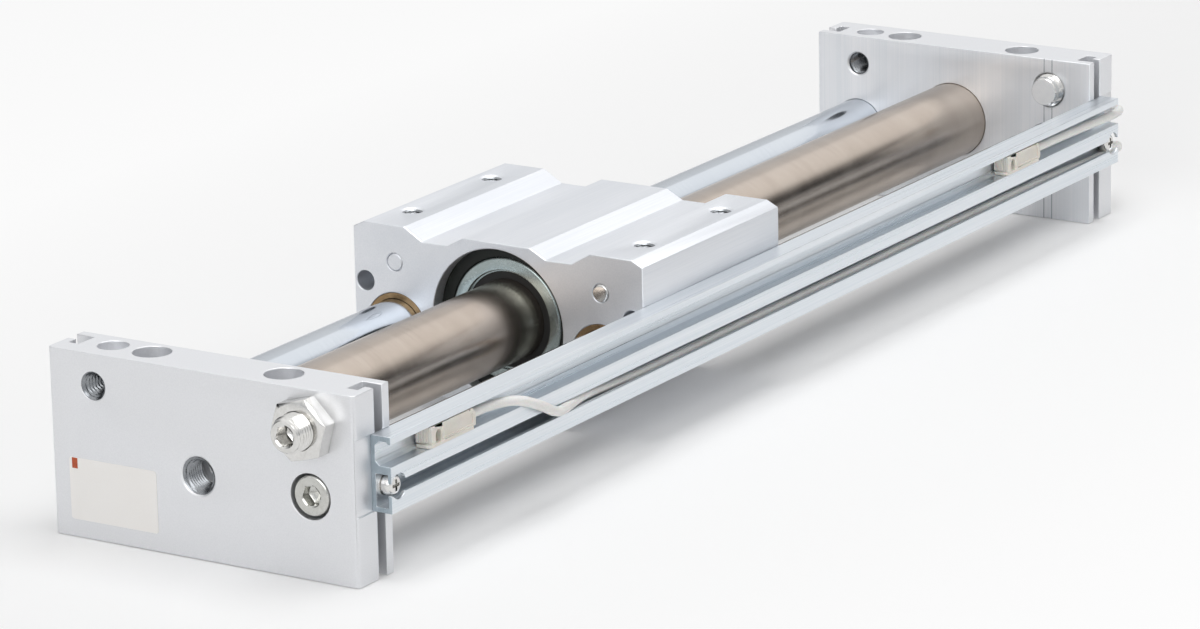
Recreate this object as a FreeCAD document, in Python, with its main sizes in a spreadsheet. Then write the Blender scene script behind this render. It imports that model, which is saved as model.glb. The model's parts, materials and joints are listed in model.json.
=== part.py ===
import FreeCAD, Part
import math
import os
import re

import Sketcher
from FreeCAD import Placement, Rotation, Vector

# Magnetically coupled rodless cylinder with slide bearings, bore 20, stroke 300.
# X runs along the stroke, +Z is up, the sensor rail is on the -Y side.
# The origin lies on the base plane, midway between the end plates, below the tube's axis.

doc = FreeCAD.newDocument("RodlessCylinder")
sheet = doc.addObject("Spreadsheet::Sheet", "Sizes")

# Driving dimensions in millimetres
DRIVING_SIZES = {
    "stroke": 300,
    "rest_offset": -31.9,
    # end plates
    "plate_width": 94.5,
    "plate_height": 50,
    "plate_thickness": 15.4,
    "plate_edge": 1.2,
    "groove_start": 8.8,
    "groove_neck": 3.6,
    "groove_lip": 2.6,
    "groove_depth": 5.8,
    "groove_hook": 3.2,
    "port_side": 1.2,
    "port_height": 22.2,
    "port_bore": 8.8,
    "port_depth": 8,
    "port_passage": 4,
    "spare_drop": 8.7,
    "spare_bore": 6.8,
    "fixing_inset": 8.5,
    "fixing_side": 20.4,
    "fixing_bore": 5.6,
    "fixing_head": 10.2,
    "fixing_head_depth": 6,
    "blind_side": 32.7,
    "blind_bore": 8.3,
    "blind_depth": 4,
    "thread_lead_in": 0.5,
    "end_bevel": 0.5,
    # tube and guide rods
    "tube_bore": 20,
    "tube_wall": 1.4,
    "tube_height": 27.3,
    "tube_seat": 6.5,
    "seal_width": 2.2,
    "seal_radial": 1.6,
    "rod_diameter": 16,
    "rod_spread": 33.2,
    "rod_height": 22,
    "rod_seat": 5,
    "rod_end_bevel": 0.8,
    "air_bore": 5,
    "seat_clearance": 0.03,
    "end_clearance": 0.05,
    # screws that hold the rods
    "cap_head": 10.8,
    "cap_head_length": 6,
    "cap_sink": 0.35,
    "cap_counterbore": 12.1,
    "cap_shank": 5,
    "cap_length": 14,
    "cap_spare": 2,
    "cap_key": 5,
    "grub_thread": 4.2,
    "grub_length": 7,
    "grub_point": 1,
    "screw_clearance": 0.08,
    # adjusting bolts and lock nuts
    "bolt_thread": 10,
    "bolt_drop": 9.6,
    "bolt_reach": 3.2,
    "bolt_outside": 10.3,
    "bolt_key": 5,
    "bolt_bevel": 0.8,
    "nut_flats": 15,
    "nut_thickness": 5,
    "nut_bevel": 0.9,
    # slide block
    "block_length": 71.5,
    "block_side_gap": 0.65,
    "block_proud": 0.8,
    "block_bottom": 4,
    "wing_bottom": 10.5,
    "wing_start": 27,
    "wing_slope": 4,
    "wing_rise": 5,
    "wing_run": 9,
    "pad_inner": 30,
    "pad_slope": 3.5,
    "pad_bevel": 1.7,
    "valley_outer": 24.1,
    "valley_inner": 15.8,
    "valley_drop": 3.5,
    "centre_half": 10.7,
    "centre_drop": 0.8,
    "block_hole_spacing_x": 40,
    "block_hole_spacing_y": 75,
    "block_hole_bore": 5,
    "block_hole_depth": 10,
    "block_hole_lead_in": 0.9,
    "block_bore": 41.8,
    "ring_recess": 4.6,
    "snap_thickness": 1.6,
    "snap_radial": 3.3,
    "snap_groove": 0.7,
    "snap_gap": 11,
    "snap_spare": 1,
    "bush_wall": 1.6,
    "bush_length": 15,
    "rod_relief": 0.6,
    "running_clearance": 0.04,
    "pin_diameter": 5,
    "pin_length": 8,
    "pin_proud": 0.25,
    "pin_bevel": 0.3,
    "stop_gap": 0.05,
    "target_side": 43,
    "target_height": 34,
    "target_bore": 5.6,
    "target_depth": 12,
    "target_length": 5,
    # magnets and their carriers
    "sleeve_wall": 3.3,
    "flange_thickness": 2,
    "nose_length": 1.8,
    "nose_wall": 3.6,
    "nose_lip": 1,
    "nose_step": 0.6,
    "scraper_sink": 0.1,
    "tail_length": 4,
    "wear_wall": 1.1,
    "magnet_length": 9,
    "outer_gap": 1,
    "shaft_diameter": 6,
    "inner_gap": 0.6,
    "magnet_step": 0.4,
    "piston_length": 17.4,
    "piston_clearance": 0.08,
    "piston_shoulder": 1,
    "wear_groove_start": 4,
    "wear_groove_end": 8,
    "wear_groove_depth": 1.2,
    "seal_groove_start": 11,
    "seal_groove_end": 14,
    "seal_groove_depth": 2.4,
    "bumper_length": 3,
    "bumper_diameter": 13,
    "bumper_bevel": 0.8,
    # sensor rail
    "rail_inset": 7.2,
    "rail_thickness": 6,
    "rail_bottom": 18.3,
    "rail_height": 20,
    "rail_recess": 0.4,
    "rail_web": 1.3,
    "slot_bottom": 30.5,
    "slot_top": 36.3,
    "slot_hook": 0.6,
    "slot_hook_depth": 1.3,
    "slot_bevel": 1.2,
    "tee_bottom": 19.7,
    "tee_top": 28.3,
    "tee_mouth_bottom": 22.9,
    "tee_mouth": 3.2,
    "tee_lip": 1.1,
    "rail_screw_height": 24.9,
    "rail_screw_head": 4.6,
    "rail_screw_head_length": 2.4,
    "rail_screw_thread": 2.9,
    "rail_screw_crown": 0.7,
    "rail_screw_spare": 0.4,
    "cross_length": 2.6,
    "cross_width": 0.7,
    "cross_depth": 1.2,
    "rail_cutout": 6.6,
    "rail_cutout_floor": 0.2,
    "rail_nut_height": 7,
    "rail_nut_thickness": 2.6,
    # sensors
    "sensor_length": 22,
    "sensor_height": 4.7,
    "sensor_depth": 4.1,
    "sensor_back_gap": 0.6,
    "sensor_left": -180.6,
    "sensor_right": 125,
    "sensor_nose": 1.2,
    "sensor_panel_start": 7.5,
    "sensor_panel_length": 12.2,
    "sensor_panel_height": 3,
    "sensor_panel_depth": 0.25,
    "sensor_panel_raise": 0.3,
    "sensor_screw_side": 4.2,
    "sensor_screw": 2.4,
    "sensor_screw_sink": 0.7,
    "sensor_screw_slot": 0.4,
    "sensor_screw_slot_depth": 0.6,
    "sensor_foot": 0.8,
    "sensor_foot_lap": 0.4,
    "sensor_foot_stop": 3,
    "sensor_foot_reach": 0.5,
    # leads and sticker
    "lead_diameter": 2.7,
    "core_diameter": 0.8,
    "core_length": 5,
    "coil_mean_diameter": 32,
    "coil_turns_wide": 2,
    "label_width": 27.5,
    "label_height": 16.6,
    "label_side": 14.3,
    "label_bottom": 4.8,
    "label_thickness": 0.15,
    "label_corner": 0.8,
}
for row, (alias, number) in enumerate(DRIVING_SIZES.items(), start=1):
    sheet.set(f"A{row}", alias.replace("_", " "))
    sheet.set(f"B{row}", str(number))
    sheet.setAlias(f"B{row}", alias)
doc.recompute()

# Derived places, written as formulas of the driving dimensions
INNER_FACE = "((stroke + block_length) / 2 + bolt_reach + pin_proud + stop_gap)"
OUTER_FACE = f"({INNER_FACE} + plate_thickness)"
TUBE_RADIUS = "(tube_bore / 2 + tube_wall)"
SIDE_FACE = "(plate_width / 2)"
BLOCK_HALF = "(block_length / 2)"
BLOCK_SIDE = f"({SIDE_FACE} - block_side_gap)"
BLOCK_HEIGHT = "(plate_height + block_proud)"
BOLT_HEIGHT = "(plate_height - bolt_drop)"
SPARE_HEIGHT = "(plate_height - spare_drop)"
SLOT_FACE = f"({SIDE_FACE} - rail_recess)"
RAIL_END = f"({OUTER_FACE} - rail_inset)"
RAIL_SCREW_X = f"({OUTER_FACE} - groove_start - groove_neck / 2)"
# distances of the stacked parts in the block's bore, from its middle
FLANGE_FACE = f"({BLOCK_HALF} - ring_recess - snap_thickness)"
SLEEVE_END = f"({FLANGE_FACE} - flange_thickness)"
STACK_END = f"({SLEEVE_END} - tail_length)"
YOKE_LENGTH = f"((2 * {STACK_END} - 3 * magnet_length) / 4)"
SLEEVE_RADIUS = "(block_bore / 2 - seat_clearance)"
SLEEVE_INNER = "(block_bore / 2 - sleeve_wall)"

WORDS = re.compile(r"\b(" + "|".join(DRIVING_SIZES) + r")\b")
SIDES = (("left", -1), ("right", 1))
# turns of the hexagons as the photograph shows them, in degrees
CAP_KEY_TURN = 10
BOLT_KEY_TURN = 15
NUT_TURN = 45
# an edge shorter than this along an axis is square to it
SQUARE = 1e-6


def formula(text):
    """The text with each size's name pointing at its cell in the sheet."""
    return WORDS.sub(r"Sizes.\1", text)


def size(text):
    """The present value of a formula."""
    return float(sheet.evalExpression(formula(text)))


def signed(sign, text):
    return f"({sign} * {text})"


# Sketches and features

def new_sketch(body, plane_role, offset):
    """A sketch on one of the body's origin planes, moved by three formulas in the plane's axes."""
    planes = [feature for feature in body.Origin.OriginFeatures if feature.Role == plane_role]
    sketch = body.newObject("Sketcher::SketchObject", body.Name + "_sketch")
    sketch.AttachmentSupport = [(planes[0], "")]
    sketch.MapMode = "FlatFace"
    for axis, text in zip("xyz", offset):
        sketch.setExpression("AttachmentOffset.Base." + axis, formula(text))
    return sketch


def add_outline(sketch, corners):
    """A closed outline through corners, each a pair of formulas."""
    spots = [Vector(size(across), size(up), 0) for across, up in corners]
    count = len(corners)
    first = sketch.GeometryCount
    sketch.addGeometry(
        [Part.LineSegment(spots[i], spots[(i + 1) % count]) for i in range(count)], False)
    start = sketch.ConstraintCount
    ties = []
    for i in range(count):
        ties.append(Sketcher.Constraint("Coincident", first + i, 2, first + (i + 1) % count, 1))
    for i in range(count):
        ties.append(Sketcher.Constraint("DistanceX", -1, 1, first + i, 1, spots[i].x))
        ties.append(Sketcher.Constraint("DistanceY", -1, 1, first + i, 1, spots[i].y))
    sketch.addConstraint(ties)
    for i, (across, up) in enumerate(corners):
        sketch.setExpression(f"Constraints[{start + count + 2 * i}]", formula(across))
        sketch.setExpression(f"Constraints[{start + count + 2 * i + 1}]", formula(up))


def box_corners(across_from, up_from, across_to, up_to):
    return [(across_from, up_from), (across_to, up_from), (across_to, up_to), (across_from, up_to)]


def hexagon(flats, turn=0):
    """Corners of a hexagon round the sketch's origin."""
    corners = []
    for i in range(6):
        angle = math.radians(turn + 60 * i)
        radius = f"{flats} / {math.sqrt(3):.6f}"
        corners.append((f"{math.cos(angle):.6f} * {radius}", f"{math.sin(angle):.6f} * {radius}"))
    return corners


def turning_sketch(body, axis, centre, profile):
    """A sketch of a turned profile: pairs of (place along the axis, radius)."""
    cx, cy, cz = centre
    if axis == "X":
        sketch = new_sketch(body, "XY_Plane", (cx, cy, cz))
        add_outline(sketch, profile)
        return sketch, "H_Axis"
    swapped = [(radius, along) for along, radius in profile]
    if axis == "Y":
        sketch = new_sketch(body, "XY_Plane", (cx, cy, cz))
    else:
        sketch = new_sketch(body, "XZ_Plane", (cx, cz, f"-({cy})"))
    add_outline(sketch, swapped)
    return sketch, "V_Axis"


def new_body(label):
    body = doc.addObject("PartDesign::Body", label)
    body.Label = label
    return body


def revolve(body, axis, centre, profile):
    sketch, line = turning_sketch(body, axis, centre, profile)
    feature = body.newObject("PartDesign::Revolution", body.Name + "_turned")
    feature.Profile = sketch
    feature.ReferenceAxis = (sketch, [line])
    feature.Angle = 360
    doc.recompute()
    return body


def must_shrink(body, before, feature):
    """Stops the build when a cut has removed nothing."""
    doc.recompute()
    if body.Shape.Volume > before - 1e-4:
        raise RuntimeError(f"{feature.Name} cuts nothing")


def groove(body, axis, centre, profile):
    before = body.Shape.Volume
    sketch, line = turning_sketch(body, axis, centre, profile)
    feature = body.newObject("PartDesign::Groove", body.Name + "_bored")
    feature.Profile = sketch
    feature.ReferenceAxis = (sketch, [line])
    feature.Angle = 360
    must_shrink(body, before, feature)


def pad(body, plane_role, offset, corners, length, backwards=False):
    sketch = new_sketch(body, plane_role, offset)
    add_outline(sketch, corners)
    feature = body.newObject("PartDesign::Pad", body.Name + "_pad")
    feature.Profile = sketch
    feature.setExpression("Length", formula(length))
    feature.Reversed = backwards
    doc.recompute()
    return body


def pocket(body, plane_role, offset, corners, length, along_normal):
    """Cuts a pocket from the sketch, with or against the plane's normal."""
    before = body.Shape.Volume
    sketch = new_sketch(body, plane_role, offset)
    add_outline(sketch, corners)
    feature = body.newObject("PartDesign::Pocket", body.Name + "_pocket")
    feature.Profile = sketch
    feature.setExpression("Length", formula(length))
    feature.Reversed = along_normal
    must_shrink(body, before, feature)


def edges_where(body, test):
    return [f"Edge{i}" for i, edge in enumerate(body.Shape.Edges, start=1) if test(edge)]


def dress(body, kind, names, amount):
    """A fillet or chamfer on the named edges of the body's tip."""
    tip = body.Tip
    feature = body.newObject("PartDesign::" + kind, body.Name + "_edges")
    feature.Base = (tip, names)
    feature.setExpression("Radius" if kind == "Fillet" else "Size", formula(amount))
    doc.recompute()


def is_vertical(edge):
    return edge.BoundBox.XLength < SQUARE and edge.BoundBox.YLength < SQUARE


def stepped(steps):
    """A turned profile of steps (from, to, radius) that starts and ends on the axis."""
    corners = [(steps[0][0], "0")]
    for start, end, radius in steps:
        corners.append((start, radius))
        corners.append((end, radius))
    corners.append((steps[-1][1], "0"))
    return corners


def ring_profile(start, end, inner, outer):
    return [(start, inner), (end, inner), (end, outer), (start, outer)]


def group(label, members):
    """Several like pieces that share one node."""
    compound = doc.addObject("Part::Compound", label)
    compound.Label = label
    compound.Links = members
    return compound


# End plates

def end_plate(side, sign):
    """One end plate: extruded outline with side grooves, then every hole bored into it."""
    body = new_body(f"end_plate_{side}")

    def depth(text):
        """X of a place measured from the plate's outer face inwards."""
        return signed(sign, f"({OUTER_FACE} - ({text}))")

    outline = [(depth("0"), f"-{SIDE_FACE}")]
    groove_end = "groove_start + groove_neck"
    groove_path = (
        ("groove_start", "0"), ("groove_start", "groove_lip"),
        ("groove_start - groove_hook", "groove_lip"), ("groove_start - groove_hook", "groove_depth"),
        (groove_end, "groove_depth"), (groove_end, "0"))
    for place, inwards in groove_path:
        outline.append((depth(place), f"{inwards} - {SIDE_FACE}"))
    outline.append((depth("plate_thickness"), f"-{SIDE_FACE}"))
    outline.append((depth("plate_thickness"), SIDE_FACE))
    for place, inwards in reversed(groove_path):
        outline.append((depth(place), f"{SIDE_FACE} - ({inwards})"))
    outline.append((depth("0"), SIDE_FACE))
    pad(body, "XY_Plane", ("0", "0", "0"), outline, "plate_height")

    corner_x = abs(size(depth("0")))
    names = edges_where(body, lambda e: is_vertical(e) and abs(abs(e.BoundBox.XMin) - corner_x) < SQUARE)
    dress(body, "Fillet", names, "plate_edge")

    # shallow seat for the sensor rail across the side face
    pocket(body, "XZ_Plane", ("0", "0", SIDE_FACE),
           box_corners(depth("0"), "rail_bottom - end_clearance",
                       depth("plate_thickness"), "rail_bottom + rail_height + end_clearance"),
           "rail_recess", False)

    # seats of tube and guide rods, open to the inner face
    seal_place = "plate_thickness - tube_seat / 2"
    groove(body, "X", ("0", "0", "tube_height"), [
        (depth("plate_thickness - tube_seat"), "0"),
        (depth("plate_thickness - tube_seat"), f"{TUBE_RADIUS} + seat_clearance"),
        (depth(f"{seal_place} - seal_width / 2"), f"{TUBE_RADIUS} + seat_clearance"),
        (depth(f"{seal_place} - seal_width / 2"), f"{TUBE_RADIUS} + seal_radial"),
        (depth(f"{seal_place} + seal_width / 2"), f"{TUBE_RADIUS} + seal_radial"),
        (depth(f"{seal_place} + seal_width / 2"), f"{TUBE_RADIUS} + seat_clearance"),
        (depth("plate_thickness"), f"{TUBE_RADIUS} + seat_clearance"),
        (depth("plate_thickness"), "0")])
    head_depth = "cap_head_length + cap_sink"
    groove(body, "X", ("0", "-rod_spread", "rod_height"), stepped([
        (depth("0"), depth(head_depth), "cap_counterbore / 2"),
        (depth(head_depth), depth("plate_thickness - rod_seat"), "cap_shank / 2 + 2 * screw_clearance"),
        (depth("plate_thickness - rod_seat"), depth("plate_thickness"),
         "rod_diameter / 2 + seat_clearance")]))
    groove(body, "X", ("0", "rod_spread", "rod_height"), stepped([
        (depth("plate_thickness - rod_seat"), depth("plate_thickness"),
         "rod_diameter / 2 + seat_clearance")]))
    groove(body, "Z", (depth("plate_thickness - rod_seat / 2"), "rod_spread", "0"), stepped([
        ("0", "rod_height", "grub_thread / 2")]))

    # threaded holes: adjusting bolt, spare and port
    for y, z, bore in (("-rod_spread", BOLT_HEIGHT, "bolt_thread + 2 * screw_clearance"),
                       ("rod_spread", SPARE_HEIGHT, "spare_bore")):
        wide = f"({bore}) / 2 + thread_lead_in"
        groove(body, "X", ("0", y, z), [
            (depth("0"), "0"), (depth("0"), wide), (depth("thread_lead_in"), f"({bore}) / 2"),
            (depth("plate_thickness - thread_lead_in"), f"({bore}) / 2"),
            (depth("plate_thickness"), wide), (depth("plate_thickness"), "0")])
    groove(body, "X", ("0", "port_side", "port_height"), [
        (depth("0"), "0"), (depth("0"), "port_bore / 2 + 2 * thread_lead_in"),
        (depth("2 * thread_lead_in"), "port_bore / 2"), (depth("port_depth"), "port_bore / 2"),
        (depth("port_depth"), "port_passage / 2"),
        (depth("plate_thickness - tube_seat / 2"), "port_passage / 2"),
        (depth("plate_thickness - tube_seat / 2"), "0")])

    # fixing holes from the top, counterbored, and one blind hole
    for y in ("-fixing_side", "fixing_side"):
        groove(body, "Z", (depth("fixing_inset"), y, "0"), stepped([
            ("0", "plate_height - fixing_head_depth", "fixing_bore / 2"),
            ("plate_height - fixing_head_depth", "plate_height", "fixing_head / 2")]))
    groove(body, "Z", (depth("fixing_inset"), "blind_side", "0"), stepped([
        ("plate_height - blind_depth", "plate_height", "blind_bore / 2")]))
    return body


# Tube, guide rods and what holds them

def cylinder_tube():
    body = new_body("cylinder_tube")
    end = f"({INNER_FACE} + tube_seat - end_clearance)"
    return revolve(body, "X", ("0", "0", "tube_height"),
                   ring_profile(f"-{end}", end, "tube_bore / 2", TUBE_RADIUS))


def guide_rod(label, y, hollow):
    """A hard chromed rod; the front one is tapped at its ends, the rear one carries the air."""
    body = new_body(label)
    end = f"({INNER_FACE} + rod_seat - end_clearance)"
    radius = "rod_diameter / 2"
    revolve(body, "X", ("0", y, "rod_height"), [
        (f"-{end}", "0"), (f"-{end}", f"{radius} - rod_end_bevel"),
        (f"rod_end_bevel - {end}", radius), (f"{end} - rod_end_bevel", radius),
        (end, f"{radius} - rod_end_bevel"), (end, "0")])
    if hollow:
        groove(body, "X", ("0", y, "rod_height"), stepped([(f"-{end}", end, "air_bore / 2")]))
    else:
        for side, sign in SIDES:
            groove(body, "X", ("0", y, "rod_height"), stepped([
                (signed(sign, f"({end} - cap_length)"), signed(sign, end),
                 "cap_shank / 2 + screw_clearance / 2")]))
    return body


def tube_seal(side, sign):
    body = new_body(f"tube_seal_{side}")
    middle = signed(sign, f"({INNER_FACE} + tube_seat / 2)")
    return revolve(body, "X", ("0", "0", "tube_height"), ring_profile(
        f"{middle} - seal_width / 2 + seat_clearance", f"{middle} + seal_width / 2 - seat_clearance",
        f"{TUBE_RADIUS} + seat_clearance / 2", f"{TUBE_RADIUS} + seal_radial - seat_clearance"))


def rod_cap_screw(side, sign):
    """Socket head cap screw through the plate into the front rod's end."""
    body = new_body(f"rod_cap_screw_{side}")
    head_face = signed(sign, f"({OUTER_FACE} - cap_sink)")
    head_seat = signed(sign, f"({OUTER_FACE} - cap_sink - cap_head_length)")
    tip = signed(sign, f"({INNER_FACE} + rod_seat - cap_length + cap_spare)")
    bevel = signed(sign, "end_bevel")
    revolve(body, "X", ("0", "-rod_spread", "rod_height"), [
        (head_face, "0"), (head_face, "cap_head / 2 - end_bevel"), (f"{head_face} - {bevel}", "cap_head / 2"),
        (head_seat, "cap_head / 2"), (head_seat, "cap_shank / 2"), (tip, "cap_shank / 2"), (tip, "0")])
    pocket(body, "YZ_Plane", ("-rod_spread", "rod_height", head_face),
           hexagon("cap_key", CAP_KEY_TURN), "cap_head_length / 2", sign < 0)
    return body


def rod_grub_screw(side, sign):
    """Set screw from below that grips the rear rod."""
    body = new_body(f"rod_grub_screw_{side}")
    x = signed(sign, f"({INNER_FACE} + rod_seat / 2)")
    tip = "rod_height - rod_diameter / 2 - end_clearance"
    radius = "grub_thread / 2 - screw_clearance / 2"
    revolve(body, "Z", (x, "rod_spread", "0"), [
        (f"{tip} - grub_length", "0"), (f"{tip} - grub_length", radius), (f"{tip} - grub_point", radius),
        (tip, "grub_thread / 4"), (tip, "0")])
    pocket(body, "XY_Plane", (x, "rod_spread", f"{tip} - grub_length"),
           hexagon("grub_thread / 2"), "grub_length / 3", True)
    return body


# Adjusting bolts and lock nuts

def adjusting_bolt(side, sign):
    body = new_body(f"adjusting_bolt_{side}")
    outside = signed(sign, f"({OUTER_FACE} + bolt_outside)")
    tip = signed(sign, f"({INNER_FACE} - bolt_reach)")
    bevel = signed(sign, "bolt_bevel")
    radius = "bolt_thread / 2"
    revolve(body, "X", ("0", "-rod_spread", BOLT_HEIGHT), [
        (outside, "0"), (outside, f"{radius} - bolt_bevel"), (f"{outside} - {bevel}", radius),
        (f"{tip} + {bevel}", radius), (tip, f"{radius} - bolt_bevel"), (tip, "0")])
    pocket(body, "YZ_Plane", ("-rod_spread", BOLT_HEIGHT, outside),
           hexagon("bolt_key", BOLT_KEY_TURN), "bolt_key", sign < 0)
    return body


def lock_nut(side, sign):
    """Hexagon nut on the adjusting bolt, seated on the plate, bevelled by a turned cut."""
    body = new_body(f"lock_nut_{side}")
    seat = signed(sign, f"({OUTER_FACE})")
    pad(body, "YZ_Plane", ("-rod_spread", BOLT_HEIGHT, seat),
        hexagon("nut_flats", NUT_TURN), "nut_thickness", sign < 0)
    face = signed(sign, f"({OUTER_FACE} + nut_thickness)")
    groove(body, "X", ("0", "-rod_spread", BOLT_HEIGHT), stepped([
        (seat, face, "bolt_thread / 2 + screw_clearance")]))
    corner = f"nut_flats / {math.sqrt(3):.6f} + nut_bevel"
    groove(body, "X", ("0", "-rod_spread", BOLT_HEIGHT), [
        (face, "nut_flats / 2 - nut_bevel / 2"), (face, f"{corner} + nut_bevel"),
        (f"{face} - {signed(sign, 'nut_bevel')}", f"{corner} + nut_bevel"),
        (f"{face} - {signed(sign, 'nut_bevel')}", corner)])
    return body


# Slide block and what runs with it

def slide_block():
    """Extruded table with wings, bored for the magnet carrier and the bushes."""
    body = new_body("slide_block")
    valley = f"{BLOCK_HEIGHT} - valley_drop"
    half = [
        ("centre_half", f"{BLOCK_HEIGHT} - centre_drop"), ("valley_inner", valley),
        ("valley_outer", valley), ("pad_inner", BLOCK_HEIGHT),
        (f"{BLOCK_SIDE} - pad_slope", BLOCK_HEIGHT), (BLOCK_SIDE, f"{BLOCK_HEIGHT} - pad_bevel"),
        (BLOCK_SIDE, "wing_bottom + wing_rise"), (f"{BLOCK_SIDE} - wing_run", "wing_bottom"),
        ("wing_start", "wing_bottom"), ("wing_start - wing_slope", "block_bottom")]
    outline = half + [(f"-({y})", z) for y, z in reversed(half)]
    start = f"rest_offset - {BLOCK_HALF}"
    pad(body, "YZ_Plane", ("0", "0", start), outline, "block_length")

    middle = ("rest_offset", "0", "tube_height")
    groove(body, "X", middle, stepped([(f"-{BLOCK_HALF}", BLOCK_HALF, "block_bore / 2")]))
    for side, sign in SIDES:
        mouth = signed(sign, f"({BLOCK_HALF} - ring_recess)")
        floor = signed(sign, FLANGE_FACE)
        groove(body, "X", middle, ring_profile(
            floor, mouth, "block_bore / 2 - snap_groove", "block_bore / 2 + snap_groove"))
    bush_seat = "rod_diameter / 2 + running_clearance + bush_wall"
    for y in ("-rod_spread", "rod_spread"):
        inner_end = f"({BLOCK_HALF} - bush_length - end_clearance)"
        groove(body, "X", ("rest_offset", y, "rod_height"), stepped([
            (f"-{BLOCK_HALF}", f"-{inner_end}", f"{bush_seat} + seat_clearance"),
            (f"-{inner_end}", inner_end, "rod_diameter / 2 + rod_relief"),
            (inner_end, BLOCK_HALF, f"{bush_seat} + seat_clearance")]))
        for side, sign in SIDES:
            end = signed(sign, BLOCK_HALF)
            inwards = signed(-sign, "(pin_length - pin_proud + end_clearance)")
            groove(body, "X", ("rest_offset", y, BOLT_HEIGHT), stepped([
                (end, f"{end} + {inwards}", "pin_diameter / 2 + seat_clearance")]))
    for y in ("-target_side", "target_side"):
        for side, sign in SIDES:
            end = signed(sign, BLOCK_HALF)
            groove(body, "X", ("rest_offset", y, "target_height"), stepped([
                (end, f"{end} - {signed(sign, 'target_depth')}", "target_bore / 2")]))
    for x_sign in (-1, 1):
        for y_sign in (-1, 1):
            x = f"rest_offset + {signed(x_sign, 'block_hole_spacing_x / 2')}"
            y = signed(y_sign, "block_hole_spacing_y / 2")
            groove(body, "Z", (x, y, "0"), [
                (f"{BLOCK_HEIGHT} - block_hole_depth", "0"),
                (f"{BLOCK_HEIGHT} - block_hole_depth", "block_hole_bore / 2"),
                (f"{BLOCK_HEIGHT} - block_hole_lead_in", "block_hole_bore / 2"),
                (BLOCK_HEIGHT, "block_hole_bore / 2 + block_hole_lead_in"), (BLOCK_HEIGHT, "0")])
    return body


def guide_bush(row, y, side, sign):
    """Thin bronze bush pressed into the block's end."""
    body = new_body(f"guide_bush_{row}_{side}")
    inner = "rod_diameter / 2 + running_clearance"
    return revolve(body, "X", ("rest_offset", y, "rod_height"), ring_profile(
        signed(sign, BLOCK_HALF), signed(sign, f"({BLOCK_HALF} - bush_length)"),
        inner, f"{inner} + bush_wall"))


def magnet_sleeve():
    body = new_body("magnet_sleeve")
    return revolve(body, "X", ("rest_offset", "0", "tube_height"), ring_profile(
        f"-{SLEEVE_END}", SLEEVE_END, SLEEVE_INNER, SLEEVE_RADIUS))


def end_ring(side, sign):
    """Zinc plated ring that closes the sleeve: nose through the snap ring, flange, tail."""
    body = new_body(f"end_ring_{side}")
    nose_radius = "block_bore / 2 - snap_radial - seat_clearance"
    mouth = f"{nose_radius} - nose_wall"
    nose_face = signed(sign, f"({FLANGE_FACE} + nose_length)")
    step = signed(sign, f"({FLANGE_FACE} + nose_length - nose_lip)")
    tail = signed(sign, STACK_END)
    wear = f"({TUBE_RADIUS} + running_clearance + wear_wall + seat_clearance)"
    return revolve(body, "X", ("rest_offset", "0", "tube_height"), [
        (nose_face, mouth), (nose_face, f"{nose_radius} - end_bevel"),
        (f"{nose_face} - {signed(sign, 'end_bevel')}", nose_radius), (signed(sign, FLANGE_FACE), nose_radius),
        (signed(sign, FLANGE_FACE), SLEEVE_RADIUS), (signed(sign, SLEEVE_END), SLEEVE_RADIUS),
        (signed(sign, SLEEVE_END), f"{SLEEVE_INNER} - seat_clearance"),
        (tail, f"{SLEEVE_INNER} - seat_clearance"), (tail, wear),
        (signed(sign, FLANGE_FACE), wear), (signed(sign, FLANGE_FACE), f"{mouth} - nose_step"),
        (step, f"{mouth} - nose_step"), (step, mouth)])


def scraper(side, sign):
    """Wiper ring in the end ring's mouth."""
    body = new_body(f"scraper_{side}")
    front = signed(sign, f"({FLANGE_FACE} + nose_length - nose_lip - scraper_sink)")
    back = signed(sign, f"({FLANGE_FACE} + end_clearance)")
    outer = "block_bore / 2 - snap_radial - nose_wall - nose_step - 2 * seat_clearance"
    return revolve(body, "X", ("rest_offset", "0", "tube_height"),
                   ring_profile(back, front, f"{TUBE_RADIUS} + running_clearance", outer))


def wear_ring(side, sign):
    body = new_body(f"wear_ring_{side}")
    inner = f"{TUBE_RADIUS} + running_clearance"
    return revolve(body, "X", ("rest_offset", "0", "tube_height"), ring_profile(
        signed(sign, f"({STACK_END} + end_clearance)"), signed(sign, FLANGE_FACE),
        inner, f"{inner} + wear_wall"))


def snap_ring(side, sign):
    """Black internal retaining ring with a gap and two lugs at the bottom."""
    body = new_body(f"snap_ring_{side}")
    front = signed(sign, f"({BLOCK_HALF} - ring_recess - seat_clearance)")
    back = signed(sign, f"({FLANGE_FACE} + seat_clearance)")
    outer = "block_bore / 2 + snap_groove - seat_clearance"
    inner = "block_bore / 2 - snap_radial"
    revolve(body, "X", ("rest_offset", "0", "tube_height"), ring_profile(back, front, inner, outer))
    pocket(body, "YZ_Plane", ("0", "tube_height", f"rest_offset + {front} + {signed(sign, 'snap_spare')}"),
           box_corners("-snap_gap / 2", "-block_bore", "snap_gap / 2", "-block_bore / 4"),
           "snap_thickness + 2 * snap_spare", sign < 0)
    return body


def stop_pin(y, label, proud, side, sign):
    """Pin or plug in the block's end face, in line with an adjusting bolt."""
    body = new_body(f"{label}_{side}")
    face = signed(sign, f"({BLOCK_HALF} + {proud})")
    floor = signed(sign, f"({BLOCK_HALF} + pin_proud - pin_length)")
    bevel = signed(sign, "pin_bevel")
    return revolve(body, "X", ("rest_offset", y, BOLT_HEIGHT), [
        (face, "0"), (face, "pin_diameter / 2 - pin_bevel"), (f"{face} - {bevel}", "pin_diameter / 2"),
        (floor, "pin_diameter / 2"), (floor, "0")])


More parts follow.
